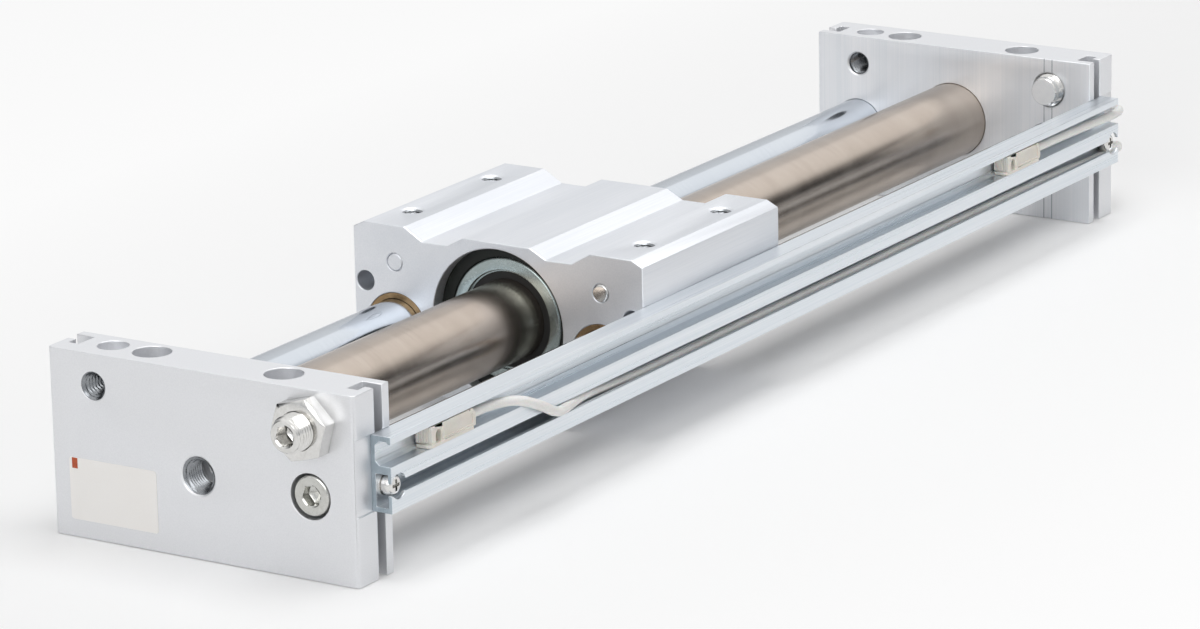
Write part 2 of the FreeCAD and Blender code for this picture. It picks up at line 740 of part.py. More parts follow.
def target_magnet(side, sign):
    """Small magnet at the bottom of the blind hole on the rail side."""
    body = new_body(f"target_magnet_{side}")
    floor = signed(sign, f"({BLOCK_HALF} - target_depth)")
    return revolve(body, "X", ("rest_offset", "-target_side", "target_height"), stepped([
        (floor, f"{floor} + {signed(sign, 'target_length')}", "target_bore / 2 - seat_clearance")]))


def stack_place(index):
    """Start and end of one of seven stacked rings: yokes at even places, magnets between."""
    yokes = (index + 1) // 2
    magnets = index // 2
    start = f"({yokes} * {YOKE_LENGTH} + {magnets} * magnet_length - {STACK_END})"
    length = YOKE_LENGTH if index % 2 == 0 else "magnet_length"
    return start, f"{start} + {length}"


def stack_ring(label, index, inner, outer):
    body = new_body(label)
    start, end = stack_place(index)
    return revolve(body, "X", ("rest_offset", "0", "tube_height"), ring_profile(start, end, inner, outer))


# Piston assembly inside the tube

def piston(side, sign):
    """Aluminium piston with grooves for its seal and its wear ring."""
    body = new_body(f"piston_{side}")
    radius = "tube_bore / 2 - piston_clearance"

    def place(text):
        return signed(sign, f"({STACK_END} + {text})")

    return revolve(body, "X", ("rest_offset", "0", "tube_height"), [
        (place("0"), "0"), (place("0"), "shaft_diameter"), (place("piston_shoulder"), radius),
        (place("wear_groove_start"), radius), (place("wear_groove_start"), f"{radius} - wear_groove_depth"),
        (place("wear_groove_end"), f"{radius} - wear_groove_depth"), (place("wear_groove_end"), radius),
        (place("seal_groove_start"), radius), (place("seal_groove_start"), f"{radius} - seal_groove_depth"),
        (place("seal_groove_end"), f"{radius} - seal_groove_depth"), (place("seal_groove_end"), radius),
        (place("piston_length - piston_shoulder"), radius),
        (place("piston_length"), "bumper_diameter / 2"), (place("piston_length"), "0")])


def piston_ring(label, kind, sign):
    """A seal or wear ring in one of the piston's grooves."""
    body = new_body(label)
    radius = "tube_bore / 2"
    return revolve(body, "X", ("rest_offset", "0", "tube_height"), ring_profile(
        signed(sign, f"({STACK_END} + {kind}_groove_start + seat_clearance)"),
        signed(sign, f"({STACK_END} + {kind}_groove_end - seat_clearance)"),
        f"{radius} - piston_clearance - {kind}_groove_depth + seat_clearance",
        f"{radius} - running_clearance"))


def piston_wear_ring(side, sign):
    return piston_ring(f"piston_wear_ring_{side}", "wear", sign)


def piston_seal(side, sign):
    return piston_ring(f"piston_seal_{side}", "seal", sign)


def bumper(side, sign):
    body = new_body(f"bumper_{side}")
    start = f"({STACK_END} + piston_length)"
    return revolve(body, "X", ("rest_offset", "0", "tube_height"), [
        (signed(sign, start), "0"), (signed(sign, start), "bumper_diameter / 2"),
        (signed(sign, f"({start} + bumper_length - bumper_bevel)"), "bumper_diameter / 2"),
        (signed(sign, f"({start} + bumper_length)"), "bumper_diameter / 2 - bumper_bevel"),
        (signed(sign, f"({start} + bumper_length)"), "0")])


def piston_shaft():
    body = new_body("piston_shaft")
    return revolve(body, "X", ("rest_offset", "0", "tube_height"), stepped([
        (f"-{STACK_END}", STACK_END, "shaft_diameter / 2")]))


# Sensor rail, its fasteners and the sensors

def rail_y(text):
    """Y of a place measured from the rail's back face outwards."""
    return f"(-{SLOT_FACE} - ({text}))"


def sensor_rail():
    """Extrusion with an open channel above and a T slot below."""
    body = new_body("sensor_rail")
    top = "rail_bottom + rail_height"
    mouth_top = "tee_mouth_bottom + tee_mouth"
    deep = "rail_thickness - tee_lip"
    shelf = "rail_thickness - slot_hook_depth"
    outline = [
        ("0", "rail_bottom"), ("rail_thickness", "rail_bottom"), ("rail_thickness", "tee_mouth_bottom"),
        (deep, "tee_mouth_bottom"), (deep, "tee_bottom"), ("rail_web", "tee_bottom"),
        ("rail_web", "tee_top"), (deep, "tee_top"), (deep, mouth_top), ("rail_thickness", mouth_top),
        ("rail_thickness", "slot_bottom"), ("rail_web + slot_bevel", "slot_bottom"),
        ("rail_web", "slot_bottom + slot_bevel"), ("rail_web", "slot_top + slot_hook - slot_bevel"),
        ("rail_web + slot_bevel", "slot_top + slot_hook"), (shelf, "slot_top + slot_hook"),
        (f"{shelf} + slot_hook", "slot_top"), ("rail_thickness", "slot_top"),
        ("rail_thickness", top), ("0", top)]
    pad(body, "YZ_Plane", ("0", "0", f"-{RAIL_END}"), [(rail_y(y), z) for y, z in outline],
        f"2 * {RAIL_END}")
    for side, sign in SIDES:
        centre = (signed(sign, RAIL_SCREW_X), "0", "rail_screw_height")
        groove(body, "Y", centre, stepped([
            (rail_y("0"), rail_y("rail_web"), "rail_screw_thread / 2 + screw_clearance")]))
        groove(body, "Y", centre, stepped([
            (rail_y("rail_web + rail_cutout_floor"), rail_y("rail_thickness"), "rail_cutout / 2")]))
    return body


def rail_screw(side, sign):
    """Pan head screw in the lower slot, into the nut in the plate's groove."""
    body = new_body(f"rail_screw_{side}")
    centre = (signed(sign, RAIL_SCREW_X), "0", "rail_screw_height")
    head_back = rail_y("rail_web")
    head_face = rail_y("rail_web + rail_screw_head_length")
    tip = f"groove_depth - rail_screw_spare - {SIDE_FACE}"
    crown = rail_y("rail_web + rail_screw_head_length - rail_screw_crown")
    revolve(body, "Y", centre, [
        (head_face, "0"), (head_face, "rail_screw_head / 2 - end_bevel"), (crown, "rail_screw_head / 2"),
        (head_back, "rail_screw_head / 2"), (head_back, "rail_screw_thread / 2"),
        (tip, "rail_screw_thread / 2"), (tip, "0")])
    for long, short in (("cross_length", "cross_width"), ("cross_width", "cross_length")):
        corners = box_corners(f"-{long} / 2", f"-{short} / 2", f"{long} / 2", f"{short} / 2")
        pocket(body, "XZ_Plane", (centre[0], centre[2], f"-{head_face}"), corners, "cross_depth", False)
    return body


def rail_nut(side, sign):
    """Nut that slides in the plate's side groove; its thread lies under the groove's mouth."""
    body = new_body(f"rail_nut_{side}")

    def depth(text):
        return signed(sign, f"({OUTER_FACE} - ({text}))")

    front = f"{SIDE_FACE} - groove_lip - end_clearance"
    pad(body, "XZ_Plane", ("0", "rail_screw_height", front),
        box_corners(depth("groove_start - groove_hook + 2 * end_clearance"), "-rail_nut_height / 2",
                    depth("groove_start + groove_neck - 2 * end_clearance"), "rail_nut_height / 2"),
        "rail_nut_thickness", True)
    groove(body, "Y", (signed(sign, RAIL_SCREW_X), "0", "rail_screw_height"), stepped([
        (f"-({front})", f"rail_nut_thickness - ({front})", "rail_screw_thread / 2 + screw_clearance / 2")]))
    return body


def sensor(side, nose_x):
    """Sensor body in the rail's channel: rounded nose, screw hole, bare recessed panel, foot."""
    body = new_body(f"position_sensor_{side}")
    low = "slot_bottom + sensor_foot"
    high = f"{low} + sensor_height"
    face = "rail_web + sensor_back_gap + sensor_depth"
    tail = f"{nose_x} + sensor_length"
    pad(body, "XZ_Plane", ("0", "0", f"-{rail_y(face)}"), [
        (nose_x, f"{low} + sensor_nose"), (f"{nose_x} + sensor_nose / 3", f"{low} + sensor_nose / 3"),
        (f"{nose_x} + sensor_nose", low), (tail, low), (tail, high),
        (f"{nose_x} + sensor_nose", high), (f"{nose_x} + sensor_nose / 3", f"{high} - sensor_nose / 3"),
        (nose_x, f"{high} - sensor_nose")], "sensor_depth", True)
    foot_top = f"{low} + sensor_foot_lap"
    pad(body, "XZ_Plane", ("0", "0", f"-{rail_y(face + ' + sensor_foot_reach')}"),
        box_corners(f"{nose_x} + sensor_nose", "slot_bottom + end_clearance",
                    f"{tail} - sensor_foot_stop", foot_top),
        "sensor_depth + sensor_foot_reach - slot_bevel", True)
    panel_low = f"{low} + (sensor_height - sensor_panel_height) / 2 + sensor_panel_raise"
    pocket(body, "XZ_Plane", ("0", "0", f"-{rail_y(face)}"),
           box_corners(f"{nose_x} + sensor_panel_start", panel_low,
                       f"{nose_x} + sensor_panel_start + sensor_panel_length",
                       f"{panel_low} + sensor_panel_height"),
           "sensor_panel_depth", False)
    groove(body, "Y", (f"{nose_x} + sensor_screw_side", "0", f"{low} + sensor_height / 2"), stepped([
        (rail_y("rail_web + sensor_back_gap"), rail_y(face), "sensor_screw / 2 + seat_clearance")]))
    return body


def sensor_screw(side, nose_x):
    """Small set screw that clamps the sensor in the channel."""
    body = new_body(f"sensor_screw_{side}")
    middle = "slot_bottom + sensor_foot + sensor_height / 2"
    face = rail_y("rail_web + sensor_back_gap + sensor_depth - sensor_screw_sink")
    revolve(body, "Y", (f"{nose_x} + sensor_screw_side", "0", middle), stepped([
        (rail_y("rail_web"), face, "sensor_screw / 2")]))
    pocket(body, "XZ_Plane", (f"{nose_x} + sensor_screw_side", middle, f"-{face}"),
           box_corners("-sensor_screw", "-sensor_screw_slot / 2", "sensor_screw", "sensor_screw_slot / 2"),
           "sensor_screw_slot_depth", False)
    return body


# Leads

def lead_section(start, direction):
    circle = Part.Circle(start, direction, size("lead_diameter / 2"))
    return Part.Wire([circle.toShape()])


def lead_path(points):
    """Straight runs joined by arcs that are as large as their two runs allow."""
    edges = []
    radii = []
    here = points[0]
    for before, corner, after in zip(points, points[1:], points[2:]):
        to_corner = corner - before
        to_after = after - corner
        turn = to_corner.getAngle(to_after)
        reach = 0.45 * min(to_corner.Length, to_after.Length)
        radii.append(reach / math.tan(turn / 2))
        into = Vector(to_corner).normalize()
        away = Vector(to_after).normalize()
        arc_start = corner - into * reach
        arc_end = corner + away * reach
        bisector = Vector(away - into).normalize()
        middle = corner + bisector * radii[-1] * (1 / math.cos(turn / 2) - 1)
        edges.append(Part.LineSegment(here, arc_start).toShape())
        edges.append(Part.Arc(arc_start, middle, arc_end).toShape())
        here = arc_end
    edges.append(Part.LineSegment(here, points[-1]).toShape())
    return Part.Wire(edges), radii


def lead_tube(label, points):
    spots = [Vector(*point) for point in points]
    path, radii = lead_path(spots)
    solid = path.makePipeShell([lead_section(spots[0], spots[1] - spots[0])], True, False)
    expected = math.pi * size("lead_diameter / 2") ** 2 * path.Length
    if abs(solid.Volume - expected) > 0.01 * expected:
        raise RuntimeError(f"{label} has the wrong volume")
    print(label, "length", round(path.Length, 1), "radii", [round(radius, 1) for radius in radii])
    tube = doc.addObject("Part::Feature", label)
    tube.Label = label
    tube.Shape = solid
    return tube


def lead_cores(label, end, direction):
    """Three bare conductors that stick out of a lead's end."""
    along = Vector(*direction).normalize()
    across = along.cross(Vector(0, 0, 1)).normalize()
    upwards = across.cross(along)
    radius = size("core_diameter / 2")
    wires = []
    for turn in (90, 210, 330):
        angle = math.radians(turn)
        shift = (across * math.cos(angle) + upwards * math.sin(angle)) * radius * 1.25
        wires.append(Part.makeCylinder(radius, size("core_length"), Vector(*end) + shift, along))
    cores = doc.addObject("Part::Feature", label)
    cores.Label = label
    cores.Shape = Part.makeCompound(wires)
    return cores


def lead_coil(label, centre):
    """Outer shape of the coiled rest of a lead, lying on the base plane."""
    body = new_body(label)
    middle = "coil_mean_diameter / 2"
    reach = "coil_turns_wide * lead_diameter / 2"
    return revolve(body, "Z", (str(centre[0]), str(centre[1]), "0"), ring_profile(
        "0", "coil_turns_wide * lead_diameter", f"{middle} - {reach}", f"{middle} + {reach}"))


# Routes of the leads, in millimetres, from the sensor's tail to the bare end
LEFT_ROUTE = [
    (-158.6, -50.9, 33.8), (-150.5, -50.9, 33.8), (-141.5, -53.6, 33.5), (-133.0, -55.6, 30.0),
    (-125.0, -55.4, 25.6), (-116.4, -52.8, 24.4), (-105.0, -50.3, 24.4), (-90.0, -49.8, 23.2),
    (-64.0, -50.0, 22.5), (-20.0, -49.8, 22.7), (35.0, -50.0, 22.5), (88.0, -49.8, 22.7),
    (130.0, -50.0, 22.5), (155.0, -49.9, 22.4), (170.0, -50.0, 21.9), (182.0, -49.9, 21.2),
    (192.0, -50.0, 21.15), (202.3, -50.3, 21.2), (209.9, -46.3, 20.2), (216.0, -39.9, 17.2),
    (221.8, -33.2, 13.2), (228.0, -26.6, 9.0), (234.6, -20.4, 5.2), (242.0, -14.2, 2.4),
    (249.0, -6.6, 1.5), (253.2, 3.2, 1.45), (254.0, 14.4, 1.45), (251.4, 25.4, 1.45),
    (245.8, 35.0, 1.45), (238.0, 42.6, 1.45), (230.8, 48.2, 1.45)]
RIGHT_ROUTE = [
    (147.0, -50.9, 33.8), (157.0, -50.9, 33.8), (172.0, -50.7, 33.4), (188.0, -50.9, 33.0),
    (202.3, -50.8, 32.6), (210.5, -46.2, 31.7), (215.1, -38.0, 28.2), (216.4, -29.2, 22.6),
    (216.1, -20.8, 16.6), (215.0, -13.2, 11.0), (213.5, -6.4, 6.7), (212.2, -0.4, 4.15)]
COIL_CENTRE = (228.0, 2.0)
TAIL_ROUTE = [
    (213.0, 10.7, 1.35), (217.9, 19.2, 1.4), (221.9, 28.5, 1.4), (222.8, 38.8, 1.4), (219.2, 48.5, 1.4),
    (211.7, 55.4, 1.4)]


def blank_label():
    """Bare sticker with rounded corners on the near plate's outer face."""
    body = new_body("blank_label")
    pad(body, "YZ_Plane", ("0", "0", f"-{OUTER_FACE}"),
        box_corners("label_side", "label_bottom", "label_side + label_width", "label_bottom + label_height"),
        "label_thickness", True)
    names = edges_where(body, lambda e: e.BoundBox.YLength < SQUARE and e.BoundBox.ZLength < SQUARE)
    dress(body, "Fillet", names, "label_corner")
    return body


def build():
    """Every piece of the cylinder, each under its own name."""
    nodes = [cylinder_tube(), magnet_sleeve(), slide_block(), piston_shaft(), sensor_rail(), blank_label()]
    nodes.append(guide_rod("guide_rod_front", "-rod_spread", False))
    nodes.append(guide_rod("guide_rod_rear", "rod_spread", True))
    pairs = {
        "tube_seals": tube_seal, "rod_cap_screws": rod_cap_screw, "rod_grub_screws": rod_grub_screw,
        "rail_screws": rail_screw, "rail_nuts": rail_nut, "target_magnets": target_magnet,
        "snap_rings": snap_ring, "scrapers": scraper, "wear_rings": wear_ring, "bumpers": bumper,
        "piston_wear_rings": piston_wear_ring, "piston_seals": piston_seal}
    for label, make in pairs.items():
        nodes.append(group(label, [make(side, sign) for side, sign in SIDES]))
    nodes.append(group("stop_pins", [
        stop_pin("-rod_spread", "stop_pin", "pin_proud", side, sign) for side, sign in SIDES]))
    nodes.append(group("block_plugs", [
        stop_pin("rod_spread", "block_plug", "0", side, sign) for side, sign in SIDES]))
    for side, sign in SIDES:
        for make in (end_plate, adjusting_bolt, lock_nut, end_ring, piston):
            nodes.append(make(side, sign))
        nodes.append(guide_bush("front", "-rod_spread", side, sign))
        nodes.append(guide_bush("rear", "rod_spread", side, sign))
        nodes.append(sensor(side, f"sensor_{side}"))
    nodes.append(group("sensor_screws", [sensor_screw(side, f"sensor_{side}") for side, sign in SIDES]))
    outer_inner = f"{TUBE_RADIUS} + outer_gap"
    outer_outer = f"{SLEEVE_INNER} - seat_clearance"
    inner_inner = "shaft_diameter / 2 + seat_clearance"
    inner_outer = "tube_bore / 2 - inner_gap"
    for index in range(7):
        kind = "yoke" if index % 2 == 0 else "magnet"
        number = index // 2 + 1
        step = "0" if kind == "yoke" else "magnet_step"
        nodes.append(stack_ring(f"outer_{kind}_{number}", index, f"{outer_inner} + {step}", outer_outer))
        nodes.append(stack_ring(f"inner_{kind}_{number}", index, inner_inner, f"{inner_outer} - {step}"))
    nodes.append(lead_tube("lead_left", LEFT_ROUTE))
    nodes.append(lead_tube("lead_right", RIGHT_ROUTE))
    nodes.append(lead_coil("lead_right_coil", COIL_CENTRE))
    nodes.append(lead_tube("lead_right_tail", TAIL_ROUTE))
    for side, route in (("left", LEFT_ROUTE), ("right", TAIL_ROUTE)):
        heading = Vector(*route[-1]) - Vector(*route[-2])
        heading.z = 0
        nodes.append(lead_cores(f"lead_{side}_cores", route[-1], tuple(heading)))
    return nodes


def check_and_write(nodes):
    """Refuses failed objects and bad shapes, then writes one file for each node."""
    doc.recompute()
    for thing in doc.Objects:
        if "Invalid" in thing.State or "Error" in thing.State:
            raise RuntimeError(f"{thing.Label} failed")
    os.makedirs("parts", exist_ok=True)
    for node in nodes:
        shape = node.Shape
        if shape.isNull() or not shape.isValid():
            raise RuntimeError(f"{node.Label} has a bad shape")
        shape.exportStep(f"parts/{node.Label}.step")
    print(len(nodes), "nodes written")


check_and_write(build())
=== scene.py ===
import json
import math

import bmesh
import bpy
from mathutils import Matrix, Vector


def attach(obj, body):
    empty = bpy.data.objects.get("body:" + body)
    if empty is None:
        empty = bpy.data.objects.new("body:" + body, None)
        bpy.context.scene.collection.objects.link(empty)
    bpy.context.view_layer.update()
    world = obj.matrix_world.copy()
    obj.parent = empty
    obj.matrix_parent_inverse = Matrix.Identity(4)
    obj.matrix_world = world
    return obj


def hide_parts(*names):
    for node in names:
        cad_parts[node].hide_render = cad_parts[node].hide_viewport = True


# Looks of a magnetically coupled rodless cylinder: bore 20, stroke 300.
# Blender works in metres; sizes and places below are millimetres and go through MM.
# X runs along the stroke, and the sensor rail is on the -Y side.

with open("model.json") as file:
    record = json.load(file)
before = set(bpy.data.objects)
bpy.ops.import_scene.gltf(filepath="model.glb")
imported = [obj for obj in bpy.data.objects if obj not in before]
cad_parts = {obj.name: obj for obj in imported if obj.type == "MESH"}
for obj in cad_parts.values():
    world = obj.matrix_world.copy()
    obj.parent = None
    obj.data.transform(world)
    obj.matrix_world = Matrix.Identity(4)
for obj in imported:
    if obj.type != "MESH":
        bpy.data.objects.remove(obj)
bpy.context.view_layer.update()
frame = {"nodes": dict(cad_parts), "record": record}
nodes = frame["nodes"]

MM = 0.001
TURN = 2 * math.pi
ENDS = (("left", -1), ("right", 1))
BODIES = frame["record"]["behaviour"]["bodies"]
BODY_OF = {node: body for body, members in BODIES.items() for node in members}
INNER_FACE, OUTER_FACE = 189.25, 204.65  # the end plates' faces, from the middle of the stroke


def linear(text):
    """An sRGB hex colour as a linear RGBA value."""
    channels = []
    for place in (1, 3, 5):
        value = int(text[place:place + 2], 16) / 255
        channels.append(value / 12.92 if value <= 0.04045 else ((value + 0.055) / 1.055) ** 2.4)
    return (*channels, 1)


def add_node(tree, kind, links=None, **settings):
    """A shader node with its settings, and its inputs' values or links. A node given as a link's
    source stands for its first output in use."""
    node = tree.nodes.new("ShaderNode" + kind)
    for name, value in settings.items():
        setattr(node, name, value)
    for socket, source in (links or {}).items():
        if isinstance(source, bpy.types.Node):
            source = next(output for output in source.outputs if output.enabled)
        if isinstance(source, bpy.types.NodeSocket):
            tree.links.new(source, node.inputs[socket])
        else:
            node.inputs[socket].default_value = source
    return node


def new_material(name):
    """An empty node material; each finish adds its own shader."""
    material = bpy.data.materials.new(name)
    material.use_nodes = True
    material.node_tree.nodes.clear()
    return material


def soft_grain(tree, lengths, detail=2.0):
    """Random grain of a given length along each axis, in millimetres of the piece's own coordinates."""
    place = add_node(tree, "TexCoord").outputs["Object"]
    scale = [1 / (MM * length) for length in lengths]
    mapping = add_node(tree, "Mapping", {"Vector": place, "Scale": scale})
    return add_node(tree, "TexNoise", {"Vector": mapping, "Scale": 1.0, "Detail": detail})


def shade(material, colour, roughness, normal, **shader):
    """Joins a finish's colour, roughness and relief to its shader."""
    tree = material.node_tree
    sockets = {"Base Color": colour, "Roughness": roughness, "Normal": normal, **shader}
    principled = add_node(tree, "BsdfPrincipled", sockets)
    add_node(tree, "OutputMaterial", {"Surface": principled})
    return material


def grained(name, light, dark, grain, blotch, roughness, strength, **shader):
    """A finish with grain of one size over a softer, wider variation of another."""
    material = new_material(name)
    tree = material.node_tree
    fine = soft_grain(tree, grain, 3.0)
    tone = add_node(tree, "Math", {0: fine, 1: soft_grain(tree, blotch)}, operation="ADD")
    share = add_node(tree, "MapRange", {"Value": tone, "From Min": 0.75, "From Max": 1.25})
    colour = add_node(tree, "Mix", {"Factor": share, "A": linear(dark), "B": linear(light)},
                      data_type="RGBA")
    rough = add_node(tree, "MapRange", {"Value": share, "To Min": roughness[0], "To Max": roughness[1]})
    relief = add_node(tree, "Bump", {"Height": fine, "Strength": strength, "Distance": 0.02 * MM})
    return shade(material, colour, rough, relief, **shader)


# Metals

# the two scribed lines over each bolt: their middle in Y, their distance from it and half their width
SCRIBED_MIDDLE = -33.05
SCRIBED_SPREAD = 1.35
SCRIBED_REACH = 0.16


def clear_anodised_plate():
    """Clear anodised extruded aluminium plate: an even, fine satin outside. The inner faces are painted
    lighter than the outside as painted light, and keep the upright drawing lines, brighter and darker by
    turns, and two scribed lines over the bolt."""
    material = new_material("clear_anodised_plate")
    tree = material.node_tree
    place = add_node(tree, "SeparateXYZ", {0: add_node(tree, "TexCoord").outputs["Object"]})
    off_middle = add_node(tree, "Math", {0: place.outputs["X"]}, operation="ABSOLUTE")
    inner = add_node(tree, "Math", {0: off_middle, 1: (INNER_FACE + 0.1) * MM}, operation="LESS_THAN")
    over_bolt = add_node(tree, "Math", {0: place.outputs["Y"], 1: SCRIBED_MIDDLE * MM}, operation="SUBTRACT")
    aside = add_node(tree, "Math", {0: over_bolt}, operation="ABSOLUTE")
    scribed = add_node(tree, "Math", {0: aside, 1: SCRIBED_SPREAD * MM, 2: SCRIBED_REACH * MM},
                       operation="COMPARE")
    scratch = add_node(tree, "Math", {0: scribed, 1: inner}, operation="MULTIPLY")

    satin = soft_grain(tree, (0.35, 0.35, 0.35), 3.0)
    skin = add_node(tree, "Mix", {"Factor": satin, "A": linear("#DFE0E3"), "B": linear("#ECEDEF")},
                    data_type="RGBA")
    drawn = add_node(tree, "Math", {0: soft_grain(tree, (1, 0.5, 80), 3.0),
                                    1: soft_grain(tree, (5, 6, 150))}, operation="ADD")
    streak = add_node(tree, "MapRange", {"Value": drawn, "From Min": 0.75, "From Max": 1.25})
    # painted light: the inner faces get a lighter copy of the plate's colours, standing in for the light
    # they catch
    lines = add_node(tree, "Mix", {"Factor": streak, "A": linear("#EEF1F5"), "B": linear("#F8F9FC")},
                     data_type="RGBA")
    face = add_node(tree, "Mix", {"Factor": inner, "A": skin, "B": lines}, data_type="RGBA")
    colour = add_node(tree, "Mix", {"Factor": scratch, "A": face, "B": linear("#AEB3B9")},
                      data_type="RGBA")
    rough = add_node(tree, "MapRange", {"Value": inner, "To Min": 0.42, "To Max": 0.36})
    height = add_node(tree, "Math", {0: scratch, 1: -4.0, 2: satin}, operation="MULTIPLY_ADD")
    relief = add_node(tree, "Bump", {"Height": height, "Strength": 0.15, "Distance": 0.03 * MM})
    metal = add_node(tree, "MapRange", {"Value": inner, "To Min": 0.8, "To Max": 0.35})
    return shade(material, colour, rough, relief, Metallic=metal)


def satin_anodised_block():
    """Satin anodised extrusion: cool, nearly white, with faint die lines along the stroke."""
    return grained("satin_anodised_block", "#E6E8EC", "#DDE0E5", (28, 0.35, 0.35), (90, 11, 11),
                   (0.36, 0.42), 0.12, Metallic=0.8)


def drawn_rail_aluminium():
    """Bright anodised thin extrusion: bluish white, crisp die lines along its whole length."""
    return grained("drawn_rail_aluminium", "#E9EDF1", "#DAE1E7", (70, 0.3, 0.3), (160, 1.6, 1.6),
                   (0.27, 0.35), 0.12, Metallic=0.85)


def sawn_rail_end_painted_shade():
    """The rail's sawn ends: bare bluish grey with faint upright saw marks, painted darker than the rail's
    faces as painted shade.
    """
    return grained("sawn_rail_end_painted_shade", "#AEBAC2", "#9BA8B0", (0.5, 0.25, 6), (3, 3, 3),
                   (0.34, 0.42), 0.15, Metallic=0.9)


def ground_stainless_tube():
    """Thin stainless tube, centreless ground and straw tinted: champagne, very fine lines round it."""
    return grained("ground_stainless_tube", "#B9AEA3", "#AEA297", (0.15, 9, 9), (9, 26, 26),
                   (0.23, 0.27), 0.04, Metallic=1.0)


def hard_chrome_rod():
    """Hard chrome on a polished rod: cool mirror with a very slight haze."""
    return grained("hard_chrome_rod", "#C6CBD1", "#BDC3CA", (0.2, 6, 6), (40, 30, 30),
                   (0.13, 0.17), 0.04, Metallic=1.0)


def nickel_plated_steel():
    """Bright nickel plating on turned steel: slightly warm light grey with fine lathe marks."""
    return grained("nickel_plated_steel", "#E2E1DF", "#D6D5D2", (0.15, 0.8, 0.8), (3, 3, 3),
                   (0.15, 0.2), 0.05, Metallic=1.0)


def dull_nickel_steel():
    """Barrel plated nickel on the cap screws: greyer and softer than on the turned bolts."""
    return grained("dull_nickel_steel", "#CFCFCB", "#C2C2BD", (0.3, 0.8, 0.8), (3, 3, 3),
                   (0.18, 0.25), 0.06, Metallic=1.0)


def black_phosphate_steel():
    """Phosphated spring steel: dull near black with a dry, mottled skin."""
    return grained("black_phosphate_steel", "#232724", "#131715", (0.3, 0.3, 0.3), (2, 2, 2),
                   (0.45, 0.6), 0.3, Metallic=0.3)


def blue_zinc_steel():
    """Blue zinc plating on a turned ring: bright grey with a cloudy, faintly green sheen."""
    return grained("blue_zinc_steel", "#A7B1B0", "#98A3A2", (0.3, 0.7, 0.7), (6, 6, 6),
                   (0.22, 0.28), 0.05, Metallic=1.0)


def bare_yoke_steel():
    """Turned mild steel pole piece: mid grey with lathe lines."""
    return grained("bare_yoke_steel", "#8C8F92", "#74777A", (0.3, 2, 2), (6, 6, 6),
                   (0.35, 0.45), 0.2, Metallic=1.0)


def sintered_magnet():
    """Sintered magnet with a nickel skin dulled by grinding: dark, even grey."""
    return grained("sintered_magnet", "#77797B", "#5F6163", (0.2, 0.2, 0.2), (4, 4, 4),
                   (0.4, 0.5), 0.2, Metallic=0.9)


def sintered_bronze():
    """Oil filled sintered bronze: brown and open pored, with a dull glint."""
    return grained("sintered_bronze", "#A48B6A", "#7C664A", (0.2, 0.2, 0.2), (3, 3, 3),
                   (0.3, 0.42), 0.3, Metallic=1.0)


def turned_aluminium():
    """Plain turned aluminium of the inner parts: light grey with lathe lines round it."""
    return grained("turned_aluminium", "#C3C5C8", "#B0B2B6", (0.2, 3, 3), (8, 8, 8),
                   (0.3, 0.4), 0.2, Metallic=1.0)


def tapped_aluminium_painted_shade():
    """Freshly cut aluminium inside the tapped holes, painted a darker mid grey as painted shade of the
    holes; it glints on its crests.
    """
    return grained("tapped_aluminium_painted_shade", "#9A9DA0", "#83868A", (0.2, 0.2, 0.2), (2, 2, 2),
                   (0.22, 0.3), 0.05, Metallic=1.0)


def satin_stop_face():
    """The bolt's stop face, faced and blasted: pale and even."""
    return grained("satin_stop_face", "#F8F8F8", "#F2F2F3", (0.2, 0.2, 0.2), (2, 2, 2),
                   (0.45, 0.5), 0.03, Metallic=0.2)


def stranded_copper():
    """Stranded copper of the bare conductor ends: warm, slightly tarnished."""
    return grained("stranded_copper", "#D08C62", "#B07048", (1.2, 0.15, 0.15), (2, 2, 2),
                   (0.3, 0.4), 0.3, Metallic=1.0)


# Rubber and plastics

def nitrile_rubber():
    """Moulded nitrile rubber: near black and dull, with a faint bloom."""
    return grained("nitrile_rubber", "#232323", "#171717", (0.4, 0.4, 0.4), (7, 7, 7), (0.55, 0.7), 0.3)


def bearing_resin():
    """Filled bearing resin: dark warm grey, waxy."""
    return grained("bearing_resin", "#59554D", "#4A463F", (0.3, 0.3, 0.3), (7, 7, 7), (0.45, 0.55), 0.2)


def ivory_sensor_housing():
    """Moulded polyester sensor housing: warm ivory, fine spark-eroded skin, a little light inside it."""
    return grained("ivory_sensor_housing", "#ECE8DF", "#E3DDD3", (0.25, 0.25, 0.25), (5, 5, 5),
                   (0.42, 0.5), 0.2, **{"Subsurface Weight": 0.15, "Subsurface Scale": 0.6 * MM})


def grey_vinyl_sheath():
    """Extruded oil resistant vinyl of the leads: light grey, soft sheen, slight drag lines."""
    return grained("grey_vinyl_sheath", "#F2F1EE", "#E8E7E4", (0.5, 0.5, 0.5), (7, 7, 7),
                   (0.36, 0.46), 0.1, **{"Subsurface Weight": 0.1, "Subsurface Scale": 0.5 * MM})


def polyester_label_film():
    """Off-white polyester film of the bare sticker: smooth, half gloss."""
    return grained("polyester_label_film", "#FCFAF7", "#FAF7F3", (0.4, 0.4, 0.4), (30, 30, 30),
                   (0.36, 0.4), 0.03)


def orange_printing_ink():
    """Burnt orange ink printed on the film: flat, slightly duller than the film."""
    return grained("orange_printing_ink", "#C0562C", "#B24A22", (0.2, 0.2, 0.2), (1, 1, 1),
                   (0.45, 0.5), 0.03)


def core_vinyl(name, light, dark):
    """Thin coloured vinyl on one conductor: smooth, half gloss."""
    return grained(name, light, dark, (0.2, 0.2, 0.2), (2, 2, 2), (0.35, 0.42), 0.05)


